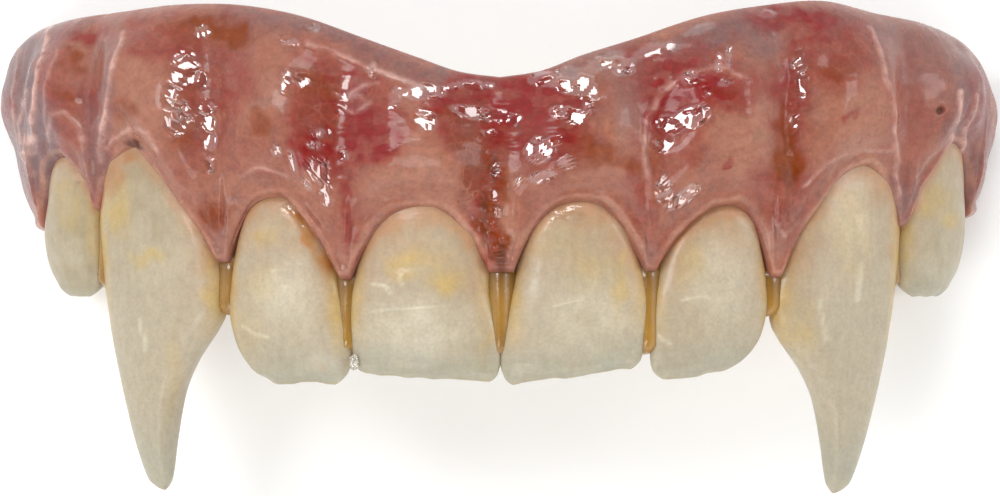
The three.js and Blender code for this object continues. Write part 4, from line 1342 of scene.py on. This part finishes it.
class DENTURE_OT_drop(Operator):
    """Leaves a droplet of clear resin between two front teeth"""
    bl_idname = "denture.drop"
    bl_label = "Droplet"

    def execute(self, context):
        turn = np.linspace(DROP_POLE, math.pi - DROP_POLE, DROP_RINGS)[:, None]
        angle = np.linspace(0, 2 * math.pi, DROP_SIDES, endpoint=False)[None, :]
        lumps = lattice_noise(3 + 1.6 * np.cos(angle) + 1.5 * turn, 3 + 1.6 * np.sin(angle) + turn, 51)
        ring = (1 + DROP_LUMPS * lumps) * np.sin(turn)
        steps = (ring * np.cos(angle), np.cos(turn) + 0 * angle, ring * np.sin(angle))
        place = [middle + radius * step for middle, radius, step in zip(DROP_PLACE, DROP_RADII, steps)]
        drop = make_piece("resin_drop", arch_point(*place), ring_cap, {}, glass_material())
        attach(drop, BODY)
        return {"FINISHED"}


def floor_material(colour):
    """Matt pale paint."""
    floor = Finish("pale_floor", Specular_IOR_Level=0.2)
    shade = floor.blend(floor.noise(40, 2), colour, tuple(0.985 * part for part in colour))
    return floor.finish(shade, 0.8, floor.bump(floor.noise(4, 2), 0.01))


def hang_light(name, direction, size, power):
    """A rectangular soft light that faces the denture."""
    light = bpy.data.lights.new(name, "AREA")
    light.shape = "RECTANGLE"
    light.size, light.size_y = size
    light.energy = power
    lamp = bpy.data.objects.new(name, light)
    lamp.location = Vector(direction).normalized() * LIGHT_DISTANCE
    lamp.rotation_euler = Vector(direction).to_track_quat("Z", "Y").to_euler()
    bpy.context.collection.objects.link(lamp)


class DENTURE_OT_stage(Operator):
    """Sets the floor, the soft lights, the sky and the camera"""
    bl_idname = "denture.stage"
    bl_label = "Stage"

    def execute(self, context):
        settings = context.scene.denture_stage
        mesh = bpy.data.meshes.new("floor")
        half = FLOOR_SIZE / 2
        corners = [(-half, -half, 0), (half, -half, 0), (half, half, 0), (-half, half, 0)]
        mesh.from_pydata(corners, [], [(0, 1, 2, 3)])
        mesh.materials.append(floor_material(tuple(settings.floor)))
        floor = bpy.data.objects.new("floor", mesh)
        context.collection.objects.link(floor)

        for name, light in LIGHTS.items():
            hang_light(name, *light)
        hang_light("light_fill", *FILL_LIGHT)

        world = bpy.data.worlds.new("studio")
        world.use_nodes = True
        background = world.node_tree.nodes["Background"]
        background.inputs["Color"].default_value = (1, 1, 1, 1)
        direction = world.node_tree.nodes.new("ShaderNodeTexCoord")
        split = world.node_tree.nodes.new("ShaderNodeSeparateXYZ")
        fade = world.node_tree.nodes.new("ShaderNodeMapRange")
        fade.interpolation_type = "SMOOTHSTEP"
        sockets = ("From Min", "From Max", "To Min", "To Max")
        for socket, value in zip(sockets, (*SKY_FALL, settings.sky, OVERHEAD)):
            fade.inputs[socket].default_value = value
        world.node_tree.links.new(direction.outputs["Generated"], split.inputs[0])
        world.node_tree.links.new(split.outputs["Z"], fade.inputs["Value"])
        world.node_tree.links.new(fade.outputs["Result"], background.inputs["Strength"])
        context.scene.world = world
        context.scene.view_settings.view_transform = "Standard"

        lens = bpy.data.cameras.new("camera")
        lens.sensor_width = 36
        lens.lens = settings.lens
        lens.clip_start = 0.01
        camera = bpy.data.objects.new("camera", lens)
        camera.location = (ORIGIN_X * MILLIMETRE, 0, CAMERA_HEIGHT)
        context.collection.objects.link(camera)
        context.scene.camera = camera
        return {"FINISHED"}


OPERATORS = (DENTURE_OT_gum, DENTURE_OT_teeth, DENTURE_OT_tray, DENTURE_OT_drop, DENTURE_OT_stage)
GROUPS = {
    "denture_gum": GumSettings, "denture_teeth": TeethSettings,
    "denture_tray": TraySettings, "denture_stage": StageSettings,
}


class DENTURE_PT_sidebar(Panel):
    """Lists the denture's pieces and their settings"""
    bl_label = "Denture"
    bl_idname = "DENTURE_PT_sidebar"
    bl_space_type = "VIEW_3D"
    bl_region_type = "UI"
    bl_category = "Denture"

    def draw(self, context):
        for operator in OPERATORS:
            self.layout.operator(operator.bl_idname)
        for group in GROUPS:
            box = self.layout.box()
            settings = getattr(context.scene, group)
            for name in settings.__annotations__:
                box.prop(settings, name)


def register():
    """Adds the settings, the operators and the panel to Blender."""
    for group in (*GROUPS.values(), *OPERATORS, DENTURE_PT_sidebar):
        bpy.utils.register_class(group)
    for name, group in GROUPS.items():
        setattr(bpy.types.Scene, name, PointerProperty(type=group))


def unregister():
    """Takes them out again."""
    for name in GROUPS:
        delattr(bpy.types.Scene, name)
    for group in reversed((*GROUPS.values(), *OPERATORS, DENTURE_PT_sidebar)):
        bpy.utils.unregister_class(group)


def main():
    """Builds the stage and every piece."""
    register()
    bpy.ops.denture.stage()
    bpy.ops.denture.gum()
    bpy.ops.denture.teeth()
    bpy.ops.denture.tray()
    bpy.ops.denture.drop()
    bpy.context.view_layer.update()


if __name__ == "__main__":
    main()
